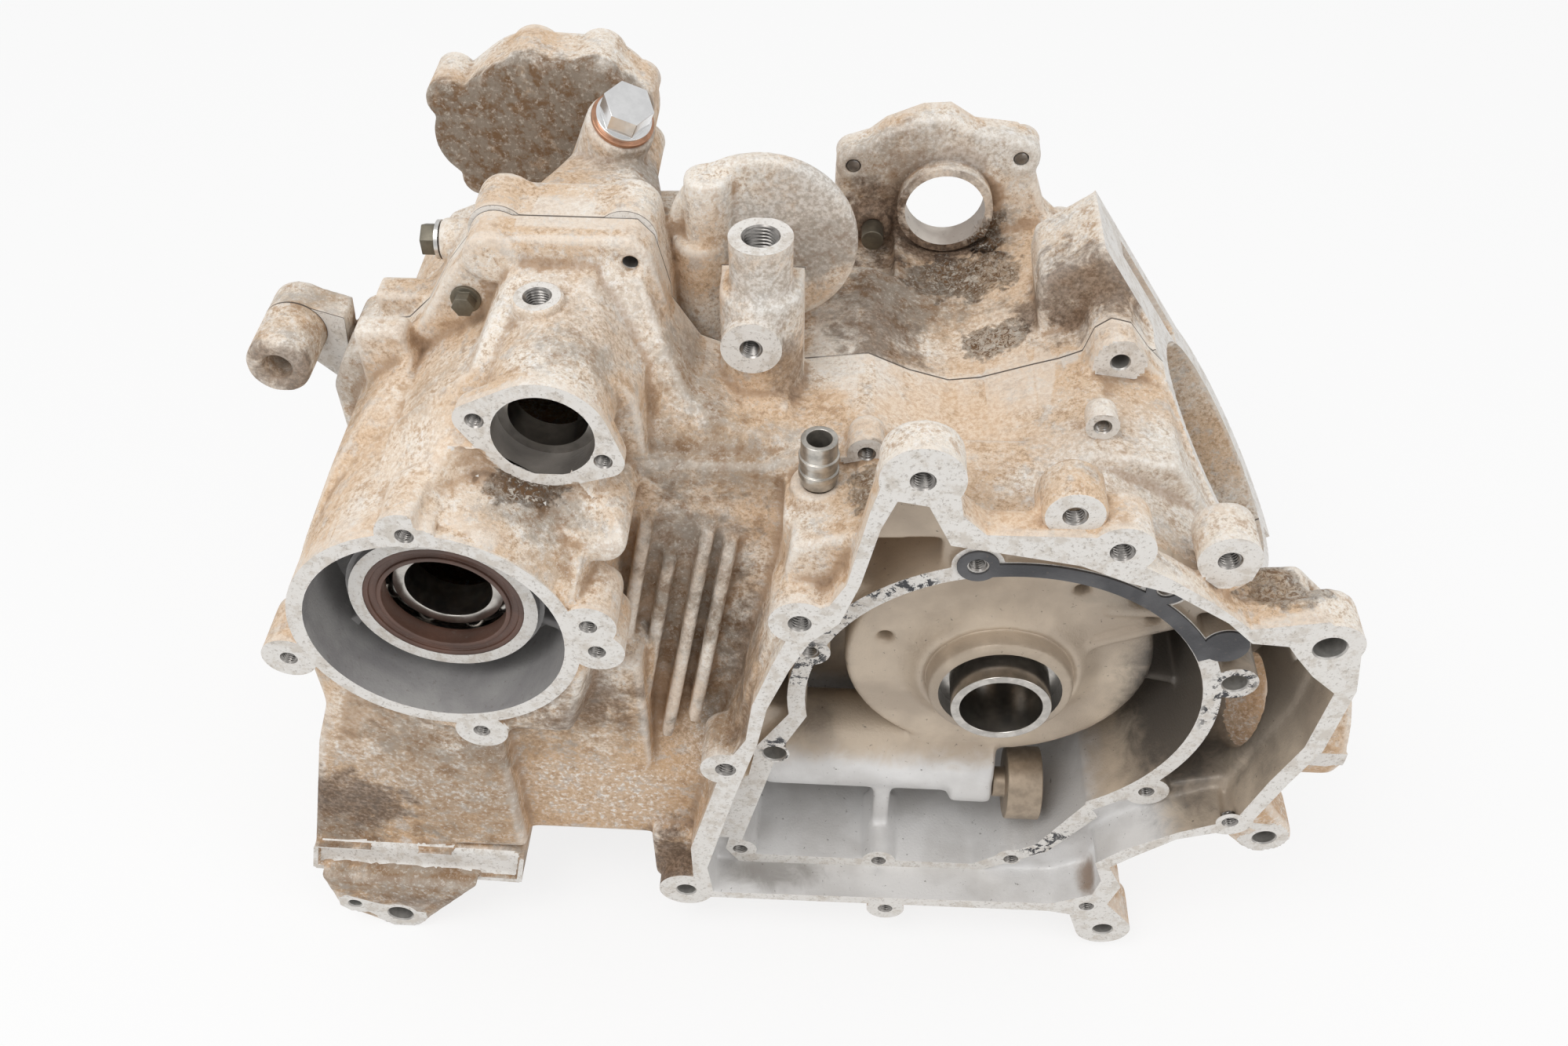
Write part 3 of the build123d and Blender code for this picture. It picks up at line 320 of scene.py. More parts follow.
def cast_skin(name, dark_spots=(), brown_spots=(), tan_spots=(), grey_spots=(), crumbs=()):
    """Weathered sand-cast aluminium: pale tan dust over grey metal, mottled brown, with stains, painted shade
    in its hollows and a painted highlight on its ridges.
    """
    paint = Paint(name, 0.72)
    broad = paint.noise(42, 3, 0.5)
    patch = paint.noise(8, 8, 0.74, 0.0, 0.31)
    fleck = paint.noise(2.0, 6, 0.75, 0.0, 0.77)
    grain = paint.noise(0.8, 3, 0.6)
    ragged = paint.noise(14, 8, 0.72, 0.3, 0.13)
    split = paint.tree.nodes.new("ShaderNodeSeparateXYZ")
    paint.feed(split.inputs[0], paint.place)
    colour = paint.mix(paint.ramp(broad, 0.38, 0.60), PALE, TAN)
    lift = paint.math("MULTIPLY", paint.math("SUBTRACT", ragged, 0.5), 0.3)
    low = paint.math("ADD", split.outputs["Z"], lift)
    low = paint.ramp(low, CRANK.z - 0.07, CRANK.z + 0.04, 0.75, 0.0)
    colour = paint.mix(low, colour, (0.56, 0.36, 0.20))
    colour = paint.mix(paint.ramp(patch, 0.49, 0.38, 0.0, 0.6), colour, GREY)
    colour = paint.mix(paint.ramp(patch, 0.53, 0.62, 0.0, 0.65), colour, (0.45, 0.28, 0.155))
    rusty = paint.math("MULTIPLY", paint.ramp(fleck, 0.51, 0.60), paint.ramp(ragged, 0.42, 0.58, 0.15, 0.8))
    colour = paint.mix(rusty, colour, (0.40, 0.27, 0.17))
    crusty = paint.math("MULTIPLY", paint.ramp(fleck, 0.48, 0.40), paint.ramp(broad, 0.36, 0.60, 0.9, 0.3))
    colour = paint.mix(crusty, colour, WHITE_CRUST)
    colour = paint.mix(paint.ramp(grain, 0.58, 0.70, 0.0, 0.5), colour, (0.24, 0.16, 0.10))
    # Painted shade: darker in the hollows that the mesh measures, its edge broken by noise
    hollow = paint.tree.nodes.new("ShaderNodeAttribute")
    hollow.attribute_name = "hollow"
    uneven = paint.math("MULTIPLY", paint.math("SUBTRACT", patch, 0.5), 2.2)
    sunk = paint.math("ADD", hollow.outputs["Fac"], uneven)
    colour = paint.mix(paint.ramp(sunk, 0.10, 0.70, 0.0, 0.8), colour, (0.38, 0.25, 0.155))
    colour = paint.mix(paint.ramp(sunk, 0.65, 1.5, 0.0, 0.75), colour, (0.17, 0.105, 0.06))
    # Painted highlight: lighter on the raised ridges
    colour = paint.mix(paint.ramp(hollow.outputs["Fac"], -0.2, -0.65, 0.0, 0.45), colour, (0.82, 0.78, 0.72))
    for centre, size, amount in grey_spots:
        mask = paint.math("MULTIPLY", paint.spot(centre, size, ragged, edge=0.5), amount)
        stain = paint.mix(paint.ramp(fleck, 0.40, 0.60), (0.72, 0.70, 0.67), (0.44, 0.41, 0.37))
        colour = paint.mix(mask, colour, stain)
    for centre, size, amount in tan_spots:
        mask = paint.math("MULTIPLY", paint.spot(centre, size, ragged, edge=0.6), amount)
        stain = paint.mix(paint.ramp(fleck, 0.40, 0.62), (0.82, 0.66, 0.50), (0.66, 0.46, 0.30))
        colour = paint.mix(mask, colour, stain)
    for centre, size, amount in brown_spots:
        mask = paint.math("MULTIPLY", paint.spot(centre, size, ragged, edge=0.5), amount)
        stain = paint.mix(paint.ramp(patch, 0.44, 0.60), (0.25, 0.205, 0.16), (0.17, 0.095, 0.045))
        stain = paint.mix(paint.ramp(fleck, 0.47, 0.36, 0.0, 0.6), stain, (0.58, 0.52, 0.45))
        colour = paint.mix(mask, colour, stain)
    for centre, size, amount in dark_spots:
        mask = paint.math("MULTIPLY", paint.spot(centre, size, ragged, edge=0.4), amount)
        stain = paint.mix(paint.ramp(fleck, 0.38, 0.60), (0.25, 0.17, 0.115), DARK)
        colour = paint.mix(mask, colour, stain)
    from_joint = paint.math("ABSOLUTE", paint.math("SUBTRACT", split.outputs["Y"], CRANK.y))
    seam = paint.ramp(from_joint, 0.00025, 0.0006, 1.0, 0.0)
    seam = paint.math("MULTIPLY", seam, paint.ramp(broad, 0.3, 0.5, 0.5, 0.95))
    colour = paint.mix(seam, colour, (0.06, 0.045, 0.035))
    height = paint.math("ADD", paint.math("MULTIPLY", grain, 0.4), paint.math("MULTIPLY", fleck, 0.6))
    normal = paint.bump(height, 0.0007, 0.6)
    normal = paint.bump(patch, 0.0012, 0.4, normal)
    for centre, size, amount in crumbs:
        mask = paint.math("MULTIPLY", paint.spot(centre, size, ragged, edge=0.3), amount)
        crumb = paint.noise(3.0, 8, 0.75, 1.5, 0.51)
        light = paint.math("MULTIPLY", mask, paint.ramp(crumb, 0.47, 0.42))
        colour = paint.mix(light, colour, (0.84, 0.76, 0.66))
        dark = paint.math("MULTIPLY", mask, paint.ramp(crumb, 0.51, 0.555))
        colour = paint.mix(dark, colour, (0.24, 0.13, 0.06))
        normal = paint.bump(paint.math("MULTIPLY", mask, crumb), 0.003, 0.9, normal)
    return paint.finish(colour, paint.ramp(patch, 0.3, 0.7, 0.6, 0.85), normal)


def machined(name):
    """A milled joint face: pale aluminium, speckled, with scraps of black gasket on the inner joint."""
    paint = Paint(name, 0.42)
    patch = paint.noise(7, 8, 0.72, 0.2, 0.2)
    fleck = paint.noise(1.5, 5, 0.7)
    colour = paint.mix(paint.ramp(patch, 0.47, 0.62, 0.0, 0.6), (0.72, 0.695, 0.66), (0.50, 0.44, 0.37))
    colour = paint.mix(paint.ramp(fleck, 0.54, 0.66, 0.0, 0.6), colour, (0.30, 0.26, 0.22))
    scrap = paint.noise(5, 8, 0.75, 0.6, 0.6)
    for centre, size in GASKET_SCRAPS:
        near = paint.spot(centre, size, patch, 0.5, 0.2)
        left = paint.math("MULTIPLY", near, paint.ramp(scrap, 0.525, 0.54))
        colour = paint.mix(left, colour, (0.03, 0.03, 0.035))
    normal = paint.bump(fleck, 0.0002, 0.5)
    return paint.finish(colour, None, normal)


def clean_cast(name, light, dark, roughness=0.5):
    """Cast aluminium that oil has kept clean, inside the rooms."""
    paint = Paint(name, roughness)
    colour = paint.mix(paint.ramp(paint.noise(30, 4, 0.55, 0.5), 0.35, 0.65), light, dark)
    colour = paint.mix(paint.ramp(paint.noise(2.4, 4, 0.6), 0.6, 0.72, 0.0, 0.4), colour, (0.16, 0.13, 0.11))
    normal = paint.bump(paint.noise(1.3, 4, 0.6), 0.0005, 0.4)
    return paint.finish(colour, None, normal)


def belt_cast():
    """Inside the belt side: a warm drum, a paler sump under it with painted shade in its pockets, and a dark
    wall on the right.
    """
    paint = Paint("belt_room", 0.38, 0.15)
    smear = paint.noise(34, 4, 0.5, 0.1)
    speck = paint.noise(2.6, 6, 0.7, 0.4, 0.2)
    ragged = paint.noise(12, 6, 0.65, 0.6, 0.4)
    warm = paint.mix(paint.ramp(smear, 0.36, 0.62), (0.60, 0.50, 0.39), (0.44, 0.36, 0.28))
    cool = paint.mix(paint.ramp(smear, 0.38, 0.62), (0.74, 0.73, 0.72), (0.60, 0.585, 0.57))
    split = paint.tree.nodes.new("ShaderNodeSeparateXYZ")
    paint.feed(split.inputs[0], paint.place)
    height = paint.math("ADD", split.outputs["Z"], paint.math("MULTIPLY", ragged, 0.012))
    colour = paint.mix(paint.ramp(height, CRANK.z - 0.066, CRANK.z - 0.054, 1.0, 0.0), warm, cool)
    # Darkens each patch: stains, and painted shade in the sump's pockets
    for centre, size, amount, shade in BELT_STAINS_AND_SHADE:
        mask = paint.math("MULTIPLY", paint.spot(centre, size, ragged, 0.9, 0.35), amount)
        colour = paint.mix(mask, colour, shade)
    colour = paint.mix(paint.ramp(speck, 0.63, 0.70, 0.0, 0.85), colour, (0.09, 0.075, 0.06))
    normal = paint.bump(paint.noise(1.3, 4, 0.6), 0.0005, 0.45)
    return paint.finish(colour, None, normal)


def steel(name, colour, roughness=0.35, metallic=1.0, mottle=0.25):
    paint = Paint(name, roughness, metallic, colour)
    shade = tuple(c * (1 - mottle) for c in colour)
    return paint.finish(paint.mix(paint.ramp(paint.noise(5, 5, 0.6), 0.35, 0.65), colour, shade))


def local(places):
    """Places in metres as millimetres from the crank."""
    return (places.astype(np.float64) - np.array(CRANK)) / MM


def read(items, key):
    """A vector of each vertex or face, one row each."""
    flat = np.empty(len(items) * 3, dtype=np.float32)
    items.foreach_get(key, flat)
    return flat.reshape(-1, 3)


def move(mesh, places):
    mesh.vertices.foreach_set("co", places.astype(np.float32).ravel())
    mesh.update()


def arrays(mesh):
    """The vertices in crank millimetres, and their normals."""
    return local(read(mesh.vertices, "co")), read(mesh.vertices, "normal")


def milled(p, n):
    """True where a point in crank millimetres lies on a milled face."""
    x, y, z = p.T
    forward = n[:, 1] < -0.6
    backward = n[:, 1] > 0.6
    out = (abs(y - COVER_Y) < NEAR) & forward
    out |= (abs(y - RIM_Y) < NEAR) & forward & (x > -124) & (z > -136)
    out |= (abs(y - OUTPUT_SEAT_Y) < NEAR) & forward & (np.hypot(x - OUTPUT[0], z - OUTPUT[1]) < 41)
    out |= (abs(y - IDLER_Y) < NEAR) & forward & (np.hypot(x - IDLER[0], z - IDLER[1]) < 40)
    for place, way, _, _, seat in SCREW_HOLES + PLAIN_HOLES:
        offset = p - np.array(place)
        height = offset @ np.array(way)
        away = np.linalg.norm(offset - np.outer(height, way), axis=1)
        out |= (abs(height) < NEAR) & (away < seat + 4) & (n @ np.array(way) > 0.6)
    out |= (abs(y - GENERATOR_Y) < NEAR) & backward
    out |= (abs(y - GEAR_REAR_Y) < NEAR) & backward
    out |= (abs(y) < NEAR) & (abs(n[:, 1]) > 0.6)
    along = x * math.cos(DECK_TILT) + z * math.sin(DECK_TILT)
    facing = n[:, 0] * math.cos(DECK_TILT) + n[:, 2] * math.sin(DECK_TILT)
    out |= (abs(along - DECK_HEIGHT) < NEAR) & (facing > 0.7) & (abs(y) < 72)
    return out


def bored(p):
    """True where a point in crank millimetres lies on a bored or turned wall."""
    x, y, z = p.T
    out = abs(y) < NEAR
    for (cx, cz), radii, front, back in BORES:
        r = np.hypot(x - cx, z - cz)
        for radius in radii:
            out |= (abs(r - radius) < NEAR) & (y > front) & (y < back)
    return out


def set_back(mesh):
    """Lowers the gear housing in front of the idler bore, so that the bore's flange stands clear, and swells
    the foot of the hub into the drum."""
    points, _ = arrays(mesh)
    x, y, z = points.T
    reach = np.hypot(x - IDLER[0], z - IDLER[1])
    housing = IDLER_Y + FLANGE_STAND - np.maximum(reach - NOSE_RISE_R, 0) * NOSE_RISE
    limit = np.where(reach < FLANGE_R, IDLER_Y, housing)
    ahead = (y < IDLER_Y - 0.5) & (y < limit) & (reach < NOSE_REACH) & (z < IDLER[1] + 8)
    ahead &= (x > NOSE_X[0]) & (x < NOSE_X[1])
    ahead &= np.hypot(x - OUTPUT[0], z - OUTPUT[1]) > OUTPUT_REACH
    places = read(mesh.vertices, "co")
    places[ahead, 1] = CRANK.y + limit[ahead] * MM
    from_hub = np.hypot(x, z)
    swell = DRUM_Y - FOOT_HEIGHT * (np.clip(FOOT_R - from_hub, 0, FOOT_WIDTH) / FOOT_WIDTH) ** 2
    foot = (from_hub > HUB_R) & (from_hub < FOOT_R) & (y < DRUM_Y + 1.5) & (y > -88) & (y > swell)
    places[foot, 1] = CRANK.y + swell[foot] * MM
    move(mesh, places)


def relaxed(mesh, strength, rounds):
    """Where each vertex goes when it is pulled towards its neighbours' mean, as much as its strength says."""
    count = len(mesh.vertices)
    edges = np.empty(len(mesh.edges) * 2, dtype=np.int32)
    mesh.edges.foreach_get("vertices", edges)
    a, b = edges.reshape(-1, 2).T
    ends = np.concatenate((a, b))
    others = np.concatenate((b, a))
    degree = np.maximum(np.bincount(ends, minlength=count), 1)
    points = read(mesh.vertices, "co").astype(np.float64)
    for _ in range(rounds):
        for axis in range(3):
            mean = np.bincount(ends, weights=points[others, axis], minlength=count) / degree
            points[:, axis] += strength * (mean - points[:, axis])
    return points


def mark_hollows(mesh):
    """Keeps, for each vertex, how far it lies below its surroundings, in millimetres; the skin paints shade
    into the hollows and a highlight onto the ridges from it.
    """
    sunk = relaxed(mesh, 0.5, HOLLOW_ROUNDS) - read(mesh.vertices, "co")
    depth = np.einsum("ij,ij->i", sunk, read(mesh.vertices, "normal")) / MM
    mesh.attributes.new("hollow", "FLOAT", "POINT").data.foreach_set("value", depth.astype(np.float32))


def axes_of(way):
    """The mouth's way and two directions across it."""
    out = Vector(way)
    across = Vector((1, 0, 0)) if abs(out.x) < 0.9 else Vector((0, 1, 0))
    return out, across, out.cross(across)


def clear_holes(mesh):
    """Opens each small hole a little, so that its threaded or reamed lining stands clear of the casting."""
    points = read(mesh.vertices, "co").astype(np.float64)
    holes = [(place, way, thread[0], depth) for place, way, thread, depth, _ in SCREW_HOLES]
    holes += [(place, way, radius, depth) for place, way, radius, depth, _ in PLAIN_HOLES]
    for place, way, radius, depth in holes:
        out = np.array(way, dtype=float)
        offset = points - np.array(at(*place))
        height = offset @ out
        radial = offset - np.outer(height, out)
        reach = np.linalg.norm(radial, axis=1)
        near = (reach < (radius + 1.6) * MM) & (height < 0.6 * MM) & (height > -(depth + 1) * MM)
        wanted = np.maximum(reach[near], (radius + 0.5) * MM)
        points[near] += radial[near] * (wanted / np.maximum(reach[near], 1e-6) - 1)[:, None]
    move(mesh, points)


def crumble(mesh, patches):
    """Raises caked dirt: broken lumps in each patch, given as centre, size and height in millimetres."""
    points, normals = arrays(mesh)
    moved = read(mesh.vertices, "co")
    for centre, size, height in patches:
        inside = np.linalg.norm((points - centre) / size, axis=1) < 1
        for index in np.nonzero(inside)[0]:
            place = Vector(points[index])
            edge = 1 - np.linalg.norm((points[index] - centre) / size)
            lump = noise.turbulence(place * 0.33, 4, True) - 0.35
            rise = max(0.0, lump) * min(1.0, edge * 3) * height * MM
            moved[index] += normals[index] * rise
    move(mesh, moved)


def added(name, data):
    piece = bpy.data.objects.new(name, data)
    bpy.context.scene.collection.objects.link(piece)
    return piece


def copy_of(node, name, join_flats=False):
    """A copy of the node's mesh whose faces hang together, its flat ones joined into one where asked."""
    piece = added(name, frame["nodes"][node].data.copy())
    work = bmesh.new()
    work.from_mesh(piece.data)
    bmesh.ops.remove_doubles(work, verts=work.verts, dist=1e-6)
    if join_flats:
        bmesh.ops.dissolve_limit(work, angle_limit=math.radians(2), verts=work.verts, edges=work.edges)
    work.to_mesh(piece.data)
    work.free()
    return piece


def apply(piece, kind, **settings):
    modifier = piece.modifiers.new(kind, kind)
    for key, value in settings.items():
        setattr(modifier, key, value)
    bpy.context.view_layer.objects.active = piece
    bpy.ops.object.modifier_apply(modifier=modifier.name)


def casting(node, name, dirt=()):
    """The node's casting with its cast edges rounded and its machined edges left sharp."""
    piece = copy_of(node, name)
    depth = REMESH_DEPTH - 0
    apply(piece, "REMESH", mode="SHARP", octree_depth=depth, scale=0.8, sharpness=1.0,
          use_remove_disconnected=False)
    if node == "front_case_half":
        set_back(piece.data)
    points, normals = arrays(piece.data)
    strength = np.where(milled(points, normals) | bored(points), 0.0, 0.5)
    move(piece.data, relaxed(piece.data, strength, CAST_ROUNDS // (1)))
    mark_hollows(piece.data)
    clear_holes(piece.data)
    crumble(piece.data, dirt)
    faces = sum(len(p.vertices) - 2 for p in piece.data.polygons)
    apply(piece, "DECIMATE", ratio=min(1.0, CASTING_TRIANGLES / faces))
    return piece


def dress(piece, paints, classes):
    """Gives each face the material that its class names."""
    mesh = piece.data
    mesh.materials.clear()
    for paint in paints:
        mesh.materials.append(paint)
    index = classes(local(read(mesh.polygons, "center")), read(mesh.polygons, "normal")).astype(np.int32)
    mesh.polygons.foreach_set("material_index", index)
    mesh.polygons.foreach_set("use_smooth", np.ones(len(mesh.polygons), dtype=bool))
    mesh.set_sharp_from_angle(angle=math.radians(42))
    mesh.update()


def within(outline, x, z):
    """True where a point lies inside an outline given as x, z."""
    inside = np.zeros(len(x), dtype=bool)
    for (x1, z1), (x2, z2) in zip(outline, outline[1:] + outline[:1]):
        if z1 != z2:
            crosses = (z1 > z) != (z2 > z)
            inside ^= crosses & (x < (x2 - x1) * (z - z1) / (z2 - z1) + x1)
    return inside


def front_classes(p, n):
    """0 outside skin, 1 milled, 2 belt room, 3 output room, 4 bores and inner rooms."""
    x, y, z = p.T
    out = np.zeros(len(p))
    crank = np.hypot(x, z)
    belt = (y < RECESS_Y) | ((y < POCKET_FLOOR_Y) & ((crank < RIM_REACH) | (x > 84) | (z < 0)))
    belt |= (y < ROOM_FLOOR_Y) & ((crank < ROOM_REACH) | within(RIM_FOOT, x, z))
    out[within(COVER_WALL, x, z) & (y > COVER_Y + 0.4) & belt] = 2
    output = np.hypot(x - OUTPUT[0], z - OUTPUT[1])
    out[(output < 51.5) & (y > COVER_Y + 0.5) & (y < -70)] = 3
    out[milled(p, n) & (abs(n).max(axis=1) > 0.8)] = 1
    ledge = (x > LEDGE_X[0]) & (x < LEDGE_X[1]) & (z > LEDGE_Z[0]) & (z < LEDGE_Z[1])
    out[ledge & (abs(y - COVER_Y - LEDGE_BACK) < 1.3) & (n[:, 1] < -0.5)] = 1
    bores = (np.hypot(x - IDLER[0], z - IDLER[1]) < 20) & (y > IDLER_Y + 0.5)
    bores |= (output < 36.5) & (y > -97.5)
    bores |= (crank < 26.5) & (y > -89.5)
    bores |= (crank < 62) & (y > -49)
    out[bores] = 4
    return out


def rear_classes(p, n):
    """0 outside skin, 1 milled, 2 generator room, 3 crank room and its bores, 4 starter bore."""
    x, y, z = p.T
    out = np.zeros(len(p))
    crank = np.hypot(x, z)
    inward = (x * n[:, 0] + z * n[:, 2]) / np.maximum(crank, 1)
    room = (crank < 120) & (z < 96) & (x > -108) & (y > 49) & (y < GENERATOR_Y - 0.5)
    out[room & ((inward < -0.3) | (n[:, 1] > 0.5))] = 2
    out[milled(p, n) & (abs(n).max(axis=1) > 0.8)] = 1
    out[(crank < 62) & (y < 49)] = 3
    out[(crank < 27) & (y < 91)] = 3
    out[np.hypot(x - STARTER[0], z - STARTER[1]) < 18.6] = 4
    return out


SKIN, SEAT, THREAD, BORE = range(4)


def lining(place, way, radius, depth, seat, pitch=0.0, steps=28):
    """Rings of a hole's lining, from the edge of its bright seat down: a flat, a lead-in, then the wall."""
    out, across, along = axes_of(way)
    centre = at(*place)

    def ring(height, size):
        points = []
        for step in range(steps):
            turn = 2 * math.pi * step / steps
            reach = size(turn) if callable(size) else size
            way_out = across * math.cos(turn) + along * math.sin(turn)
            points.append(centre + (out * height + way_out * reach) * MM)
        return points

    rows = [ring(-0.2, seat + 0.1)]
    if place in COLLARS:
        length, wider = COLLARS[place]
        rows = [ring(-length - 7, seat * 0.3), ring(-length - 4, seat * 0.8)]
        rows += [ring(-length, seat + wider), ring(-1.2, seat + wider)]
        rows += [ring(-0.4, seat + wider * 0.7), ring(-0.05, seat + 0.1)]
    skin_rows = len(rows) - 1
    rows += [ring(SEAT_PROUD, seat), ring(SEAT_PROUD, radius + LEAD_IN), ring(-0.6, radius)]
    if pitch:
        tooth = 0.55 * pitch
        level = 0.6
        while level < depth:
            def wall(turn, level=level):
                part = (level / pitch + turn / (2 * math.pi)) % 1.0
                return radius - tooth * (1 - min(1.0, 2.4 * abs(part - 0.5)))
            rows.append(ring(-level, wall))
            level += pitch / 4
        rows.append(ring(-depth, radius - tooth))
    else:
        rows.append(ring(-depth, radius))
    rows.append(ring(-depth - 0.1, 0.05))
    paints = [SKIN] * skin_rows + [SEAT] * 2
    return rows, paints + [THREAD if pitch else BORE] * (len(rows) - 1 - len(paints))


def joined(name, linings, paints):
    """One object in the case from the rings of many linings, each row of faces with its own paint."""
    verts, faces, index = [], [], []
    for rows, row_paints in linings:
        start = len(verts)
        count = len(rows[0])
        verts += [point for row in rows for point in row]
        for row, paint in enumerate(row_paints):
            for step in range(count):
                a = start + row * count + step
                b = start + row * count + (step + 1) % count
                faces.append((a, b, b + count, a + count))
                index.append(paint)
    mesh = bpy.data.meshes.new(name)
    mesh.from_pydata([tuple(v) for v in verts], [], faces)
    for paint in paints:
        mesh.materials.append(paint)
    mesh.polygons.foreach_set("material_index", index)
    mesh.polygons.foreach_set("use_smooth", [True] * len(faces))
    mesh.set_sharp_from_angle(angle=math.radians(38))
    piece = added(name, mesh)
    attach(piece, "case")


# Stains, and one patch of painted shade on the front half: centre and size in crank millimetres, and how
# strong they are
front_skin = cast_skin(
    "front_skin",
    dark_spots=[
        ((-143, -107, -121), (14, 20, 24), 0.9), ((-175, -104, 0), (26, 14, 22), 0.6),
        ((-290, -109, -74), (24, 8, 20), 0.8), ((-187, -84, 110), (11, 6, 7), 0.6),
        ((-92, -22, 112), (8, 12, 18), 0.6), ((52, -114, -121), (10, 20, 12), 0.4),
        # The second spot on the next line is painted shade on the outside of the cover joint's left wall
        ((-299, -26, 112), (16, 7, 16), 0.85), ((-104, -60, -20), (8, 60, 70), 0.5),
        ((-250, -121, -152), (60, 14, 12), 0.45),
    ],
    brown_spots=[
        ((-183, -90, 104), (15, 12, 13), 0.6), ((-131, -60, 20), (26, 20, 60), 0.8),
        ((-120, -60, 100), (30, 20, 16), 0.55), ((-300, -109, -90), (30, 14, 24), 0.8),
        ((-200, -106, -20), (60, 14, 26), 0.6), ((-170, -58, 140), (14, 12, 20), 0.55),
        ((-255, -118, -127), (60, 24, 20), 0.7), ((40, -9, 115), (9, 9, 8), 0.5),
        ((-130, -30, 120), (16, 20, 14), 0.5), ((-60, -80, 118), (14, 14, 14), 0.5),
        ((-230, -112, -60), (60, 10, 50), 0.45), ((-113, -80, -60), (16, 40, 70), 0.55),
        ((-310, -60, 20), (16, 60, 80), 0.5), ((-200, -84, 84), (36, 30, 14), 0.45),
        ((-280, -20, 100), (20, 30, 20), 0.4), ((-250, -50, 128), (26, 20, 12), 0.35),
    ],
    tan_spots=[
        ((-31, -30, 98), (34, 30, 12), 0.7), ((-21, -100, 122), (22, 12, 10), 0.8),
        ((30, -96, 112), (22, 10, 10), 0.7), ((-237, -70, 112), (30, 40, 30), 0.4),
        ((-260, -114, 20), (50, 30, 60), 0.35),
    ],
    grey_spots=[
        ((-103, -24, 153), (18, 16, 22), 0.7), ((-131, -65, 62), (20, 12, 14), 0.45),
        ((40, -60, 100), (50, 30, 20), 0.3), ((-150, -40, 150), (40, 30, 16), 0.35),
    ],
    crumbs=[
        ((-189, -84, 108), (14, 7, 8), 1.0), ((-50, -78, 112), (18, 14, 8), 0.8),
        ((92, -92, 88), (22, 12, 14), 0.8),
    ],
)
rear_skin = cast_skin(
    "rear_skin",
    dark_spots=[
        ((-61, 90, 110), (20, 18, 18), 0.95), ((-30, 92, 96), (34, 10, 9), 0.9),
        ((30, 22, 126), (24, 16, 20), 0.8), ((-54, 14, 106), (18, 24, 14), 0.45),
        ((-295, -27, 112), (14, 5, 14), 0.7), ((-28, 89, 118), (25, 2.5, 25), 0.55),
        ((14, 34, 108), (10, 16, 14), 0.8),
    ],
    brown_spots=[
        ((-223, 98, 147), (60, 7, 60), 1.0), ((-180, 98, 168), (40, 6, 26), 0.8),
        ((-40, 60, 100), (30, 34, 14), 0.75), ((-84, 20, 145), (26, 10, 12), 0.5),
        ((-157, 66, 146), (18, 16, 24), 0.6), ((-8, 90, 104), (14, 12, 12), 0.75),
        ((-58, 30, 104), (20, 34, 18), 0.8), ((-60, 96, 130), (26, 8, 26), 0.55),
        ((-290, 20, 60), (20, 60, 70), 0.5),
    ],
    tan_spots=[((-8, 44, 97), (34, 40, 14), 0.6)],
    grey_spots=[
        ((-84, 20, 160), (34, 10, 26), 0.8), ((-20, 98, 145), (44, 8, 12), 0.5),
        ((-170, 70, 150), (20, 20, 20), 0.4),
    ],
    crumbs=[
        ((-14, 70, 97), (26, 14, 8), 1.0), ((-8, 22, 99), (14, 9, 8), 1.0), ((-8, 92, 106), (8, 8, 8), 1.0),
    ],
)
# Caked dirt on the rear half's seat: centre, size, height
CAKED = [
    ((-14, 72, 96), (30, 16, 12), 4.0), ((-8, 22, 98), (16, 10, 10), 3.0), ((-5, 90, 105), (12, 10, 12), 3.5),
]
joint_face = machined("joint_face")
belt_room = belt_cast()
output_room = clean_cast("output_room", (0.36, 0.35, 0.34), (0.26, 0.25, 0.25), 0.38)
# Painted shade: the bores and inner rooms get a near-black colour for the shade deep inside them
inner_room_painted_shade = clean_cast("inner_room_painted_shade", (0.20, 0.18, 0.16), (0.10, 0.09, 0.08), 0.35)

front = casting("front_case_half", "front_casting")
dress(front, [front_skin, joint_face, belt_room, output_room, inner_room_painted_shade], front_classes)
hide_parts("front_case_half")
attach(front, "case")

rear = casting("rear_case_half", "rear_casting", dirt=CAKED)
ring_bore = clean_cast("ring_bore", (0.66, 0.61, 0.55), (0.36, 0.31, 0.27))
dress(rear, [rear_skin, joint_face, output_room, inner_room_painted_shade, ring_bore], rear_classes)
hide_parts("rear_case_half")
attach(rear, "case")

thread_steel = steel("thread", (0.36, 0.34, 0.32), 0.32, 0.85, 0.4)
bore_steel = steel("bore", (0.52, 0.50, 0.47), 0.4, 0.6, 0.3)
linings = [lining(place, way, radius, depth, seat, pitch)
           for place, way, (radius, pitch), depth, seat in SCREW_HOLES]
linings += [lining(*hole) for hole in PLAIN_HOLES]
joined("hole_linings", linings, [front_skin, joint_face, thread_steel, bore_steel])

# The small pieces: what each slot is made of, how wide their edges are broken, and the bodies that turn
finishes = {
    "dark_bolt": steel("dark_bolt", (0.20, 0.18, 0.14), 0.45, 0.8),
    "washer": steel("washer", (0.80, 0.79, 0.77), 0.3),
    "bright_steel": steel("bright_steel", (0.88, 0.88, 0.88), 0.2, 1.0, 0.08),
    "copper": steel("copper", (0.56, 0.31, 0.20), 0.38),
    "pipe": steel("pipe", (0.60, 0.57, 0.52), 0.32, 0.9, 0.35),
    "seal": clean_cast("seal", (0.13, 0.065, 0.045), (0.085, 0.045, 0.032), 0.38),
    "bearing_steel": steel("bearing_steel", (0.58, 0.55, 0.51), 0.26),
    "valve": steel("valve", (0.40, 0.32, 0.24), 0.45, 0.6),
    "gasket": clean_cast("gasket", (0.11, 0.11, 0.115), (0.045, 0.045, 0.05), 0.5),
}
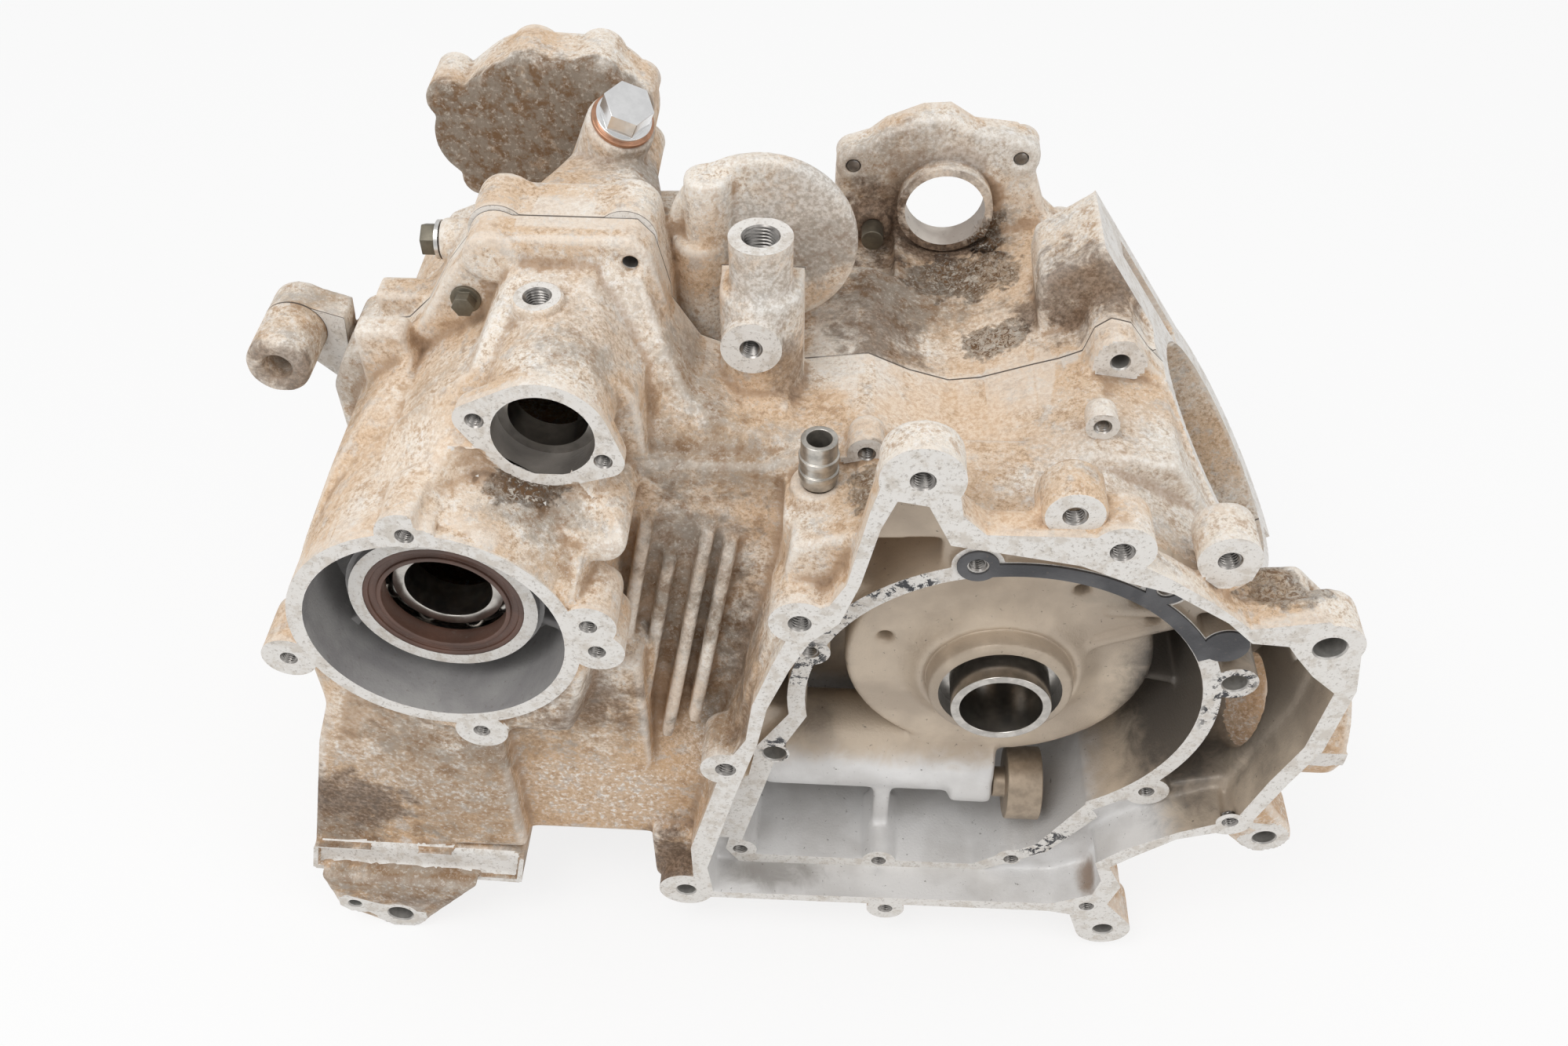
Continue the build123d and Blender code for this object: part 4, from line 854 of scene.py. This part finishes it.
BEVELS = {
    "filler_plug": 0.9, "case_bolt": 0.5, "side_bolt": 0.5, "crank_sleeve": 0.5, "relief_valve": 1.2,
    "hose_pipe": 0.4, "output_bearing_inner": 0.4, "output_seal": 0.4, "filler_washer": 0.5, "stud": 0.4,
}
BODIES = {"crank_sleeve": "crank_sleeve", "output_bearing_inner": "output_inner"}


def bevelled(node, width):
    """A copy of a small piece with its edges broken, as wide as given in millimetres."""
    piece = copy_of(node, node + "_piece", join_flats=True)
    apply(piece, "BEVEL", width=width * MM, segments=3, limit_method="ANGLE", angle_limit=math.radians(32))
    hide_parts(node)
    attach(piece, BODIES.get(node, "case"))
    return piece


slots = {row["node"]: row["material_slot"] for row in frame["record"]["subparts"]}
for node, piece in frame["nodes"].items():
    if slots[node] in finishes:
        if node in BEVELS:
            piece = bevelled(node, BEVELS[node])
        piece.data.materials.clear()
        piece.data.materials.append(finishes[slots[node]])
        piece.data.polygons.foreach_set("use_smooth", np.ones(len(piece.data.polygons), dtype=bool))
        piece.data.set_sharp_from_angle(angle=math.radians(35))


def stage_material():
    """A pale floor that the camera sees as near-white, with the object's shadow kept."""
    material = bpy.data.materials.new("stage")
    material.use_nodes = True
    tree = material.node_tree
    tree.nodes.clear()
    out = tree.nodes.new("ShaderNodeOutputMaterial")
    mix = tree.nodes.new("ShaderNodeMixShader")
    diffuse = tree.nodes.new("ShaderNodeBsdfDiffuse")
    diffuse.inputs["Color"].default_value = (0.82, 0.82, 0.82, 1)
    glow = tree.nodes.new("ShaderNodeEmission")
    glow.inputs["Strength"].default_value = 1.0
    rays = tree.nodes.new("ShaderNodeLightPath")
    seen = tree.nodes.new("ShaderNodeMath")
    seen.operation = "MAXIMUM"
    tree.links.new(rays.outputs["Is Camera Ray"], seen.inputs[0])
    tree.links.new(rays.outputs["Is Glossy Ray"], seen.inputs[1])
    share = tree.nodes.new("ShaderNodeMath")
    share.operation = "MULTIPLY"
    share.inputs[1].default_value = 0.8
    tree.links.new(seen.outputs[0], share.inputs[0])
    tree.links.new(share.outputs[0], mix.inputs[0])
    tree.links.new(diffuse.outputs[0], mix.inputs[1])
    tree.links.new(glow.outputs[0], mix.inputs[2])
    tree.links.new(mix.outputs[0], out.inputs["Surface"])
    return material


bpy.ops.mesh.primitive_plane_add(size=12, location=(0, 0, cad_box[0][2] - 0.0002))
floor = bpy.context.object
floor.name = "floor"
floor.data.materials.append(stage_material())

world = bpy.data.worlds.new("studio")
bpy.context.scene.world = world
world.use_nodes = True
world.node_tree.nodes["Background"].inputs["Color"].default_value = (1, 1, 1, 1)
rays = world.node_tree.nodes.new("ShaderNodeLightPath")
level = world.node_tree.nodes.new("ShaderNodeMapRange")
level.inputs["To Min"].default_value = WORLD_LIGHT
level.inputs["To Max"].default_value = WORLD_SEEN
world.node_tree.links.new(rays.outputs["Is Camera Ray"], level.inputs["Value"])
world.node_tree.links.new(level.outputs["Result"], world.node_tree.nodes["Background"].inputs["Strength"])


def softbox(name, place, target, size, power):
    light = bpy.data.lights.new(name, "AREA")
    light.shape = "RECTANGLE"
    light.size, light.size_y = size
    light.energy = power
    lamp = added(name, light)
    lamp.location = place
    lamp.rotation_euler = (Vector(target) - Vector(place)).to_track_quat("-Z", "Y").to_euler()


softbox("key", (-0.5, -0.6, 1.5), (0, 0, 0.15), (0.8, 0.8), 9)
softbox("fill", (1.3, -0.9, 1.0), (0, 0, 0.15), (1.0, 1.0), 5)

camera = added("camera", bpy.data.cameras.new("camera"))
camera.data.lens = 32.4
camera.data.sensor_width = 36
camera.location = CRANK + Vector((-72, -456, 478)) * MM
camera.rotation_euler = Euler((math.radians(44), 0, math.radians(3)))
bpy.context.scene.camera = camera
bpy.context.scene.view_settings.view_transform = "Standard"
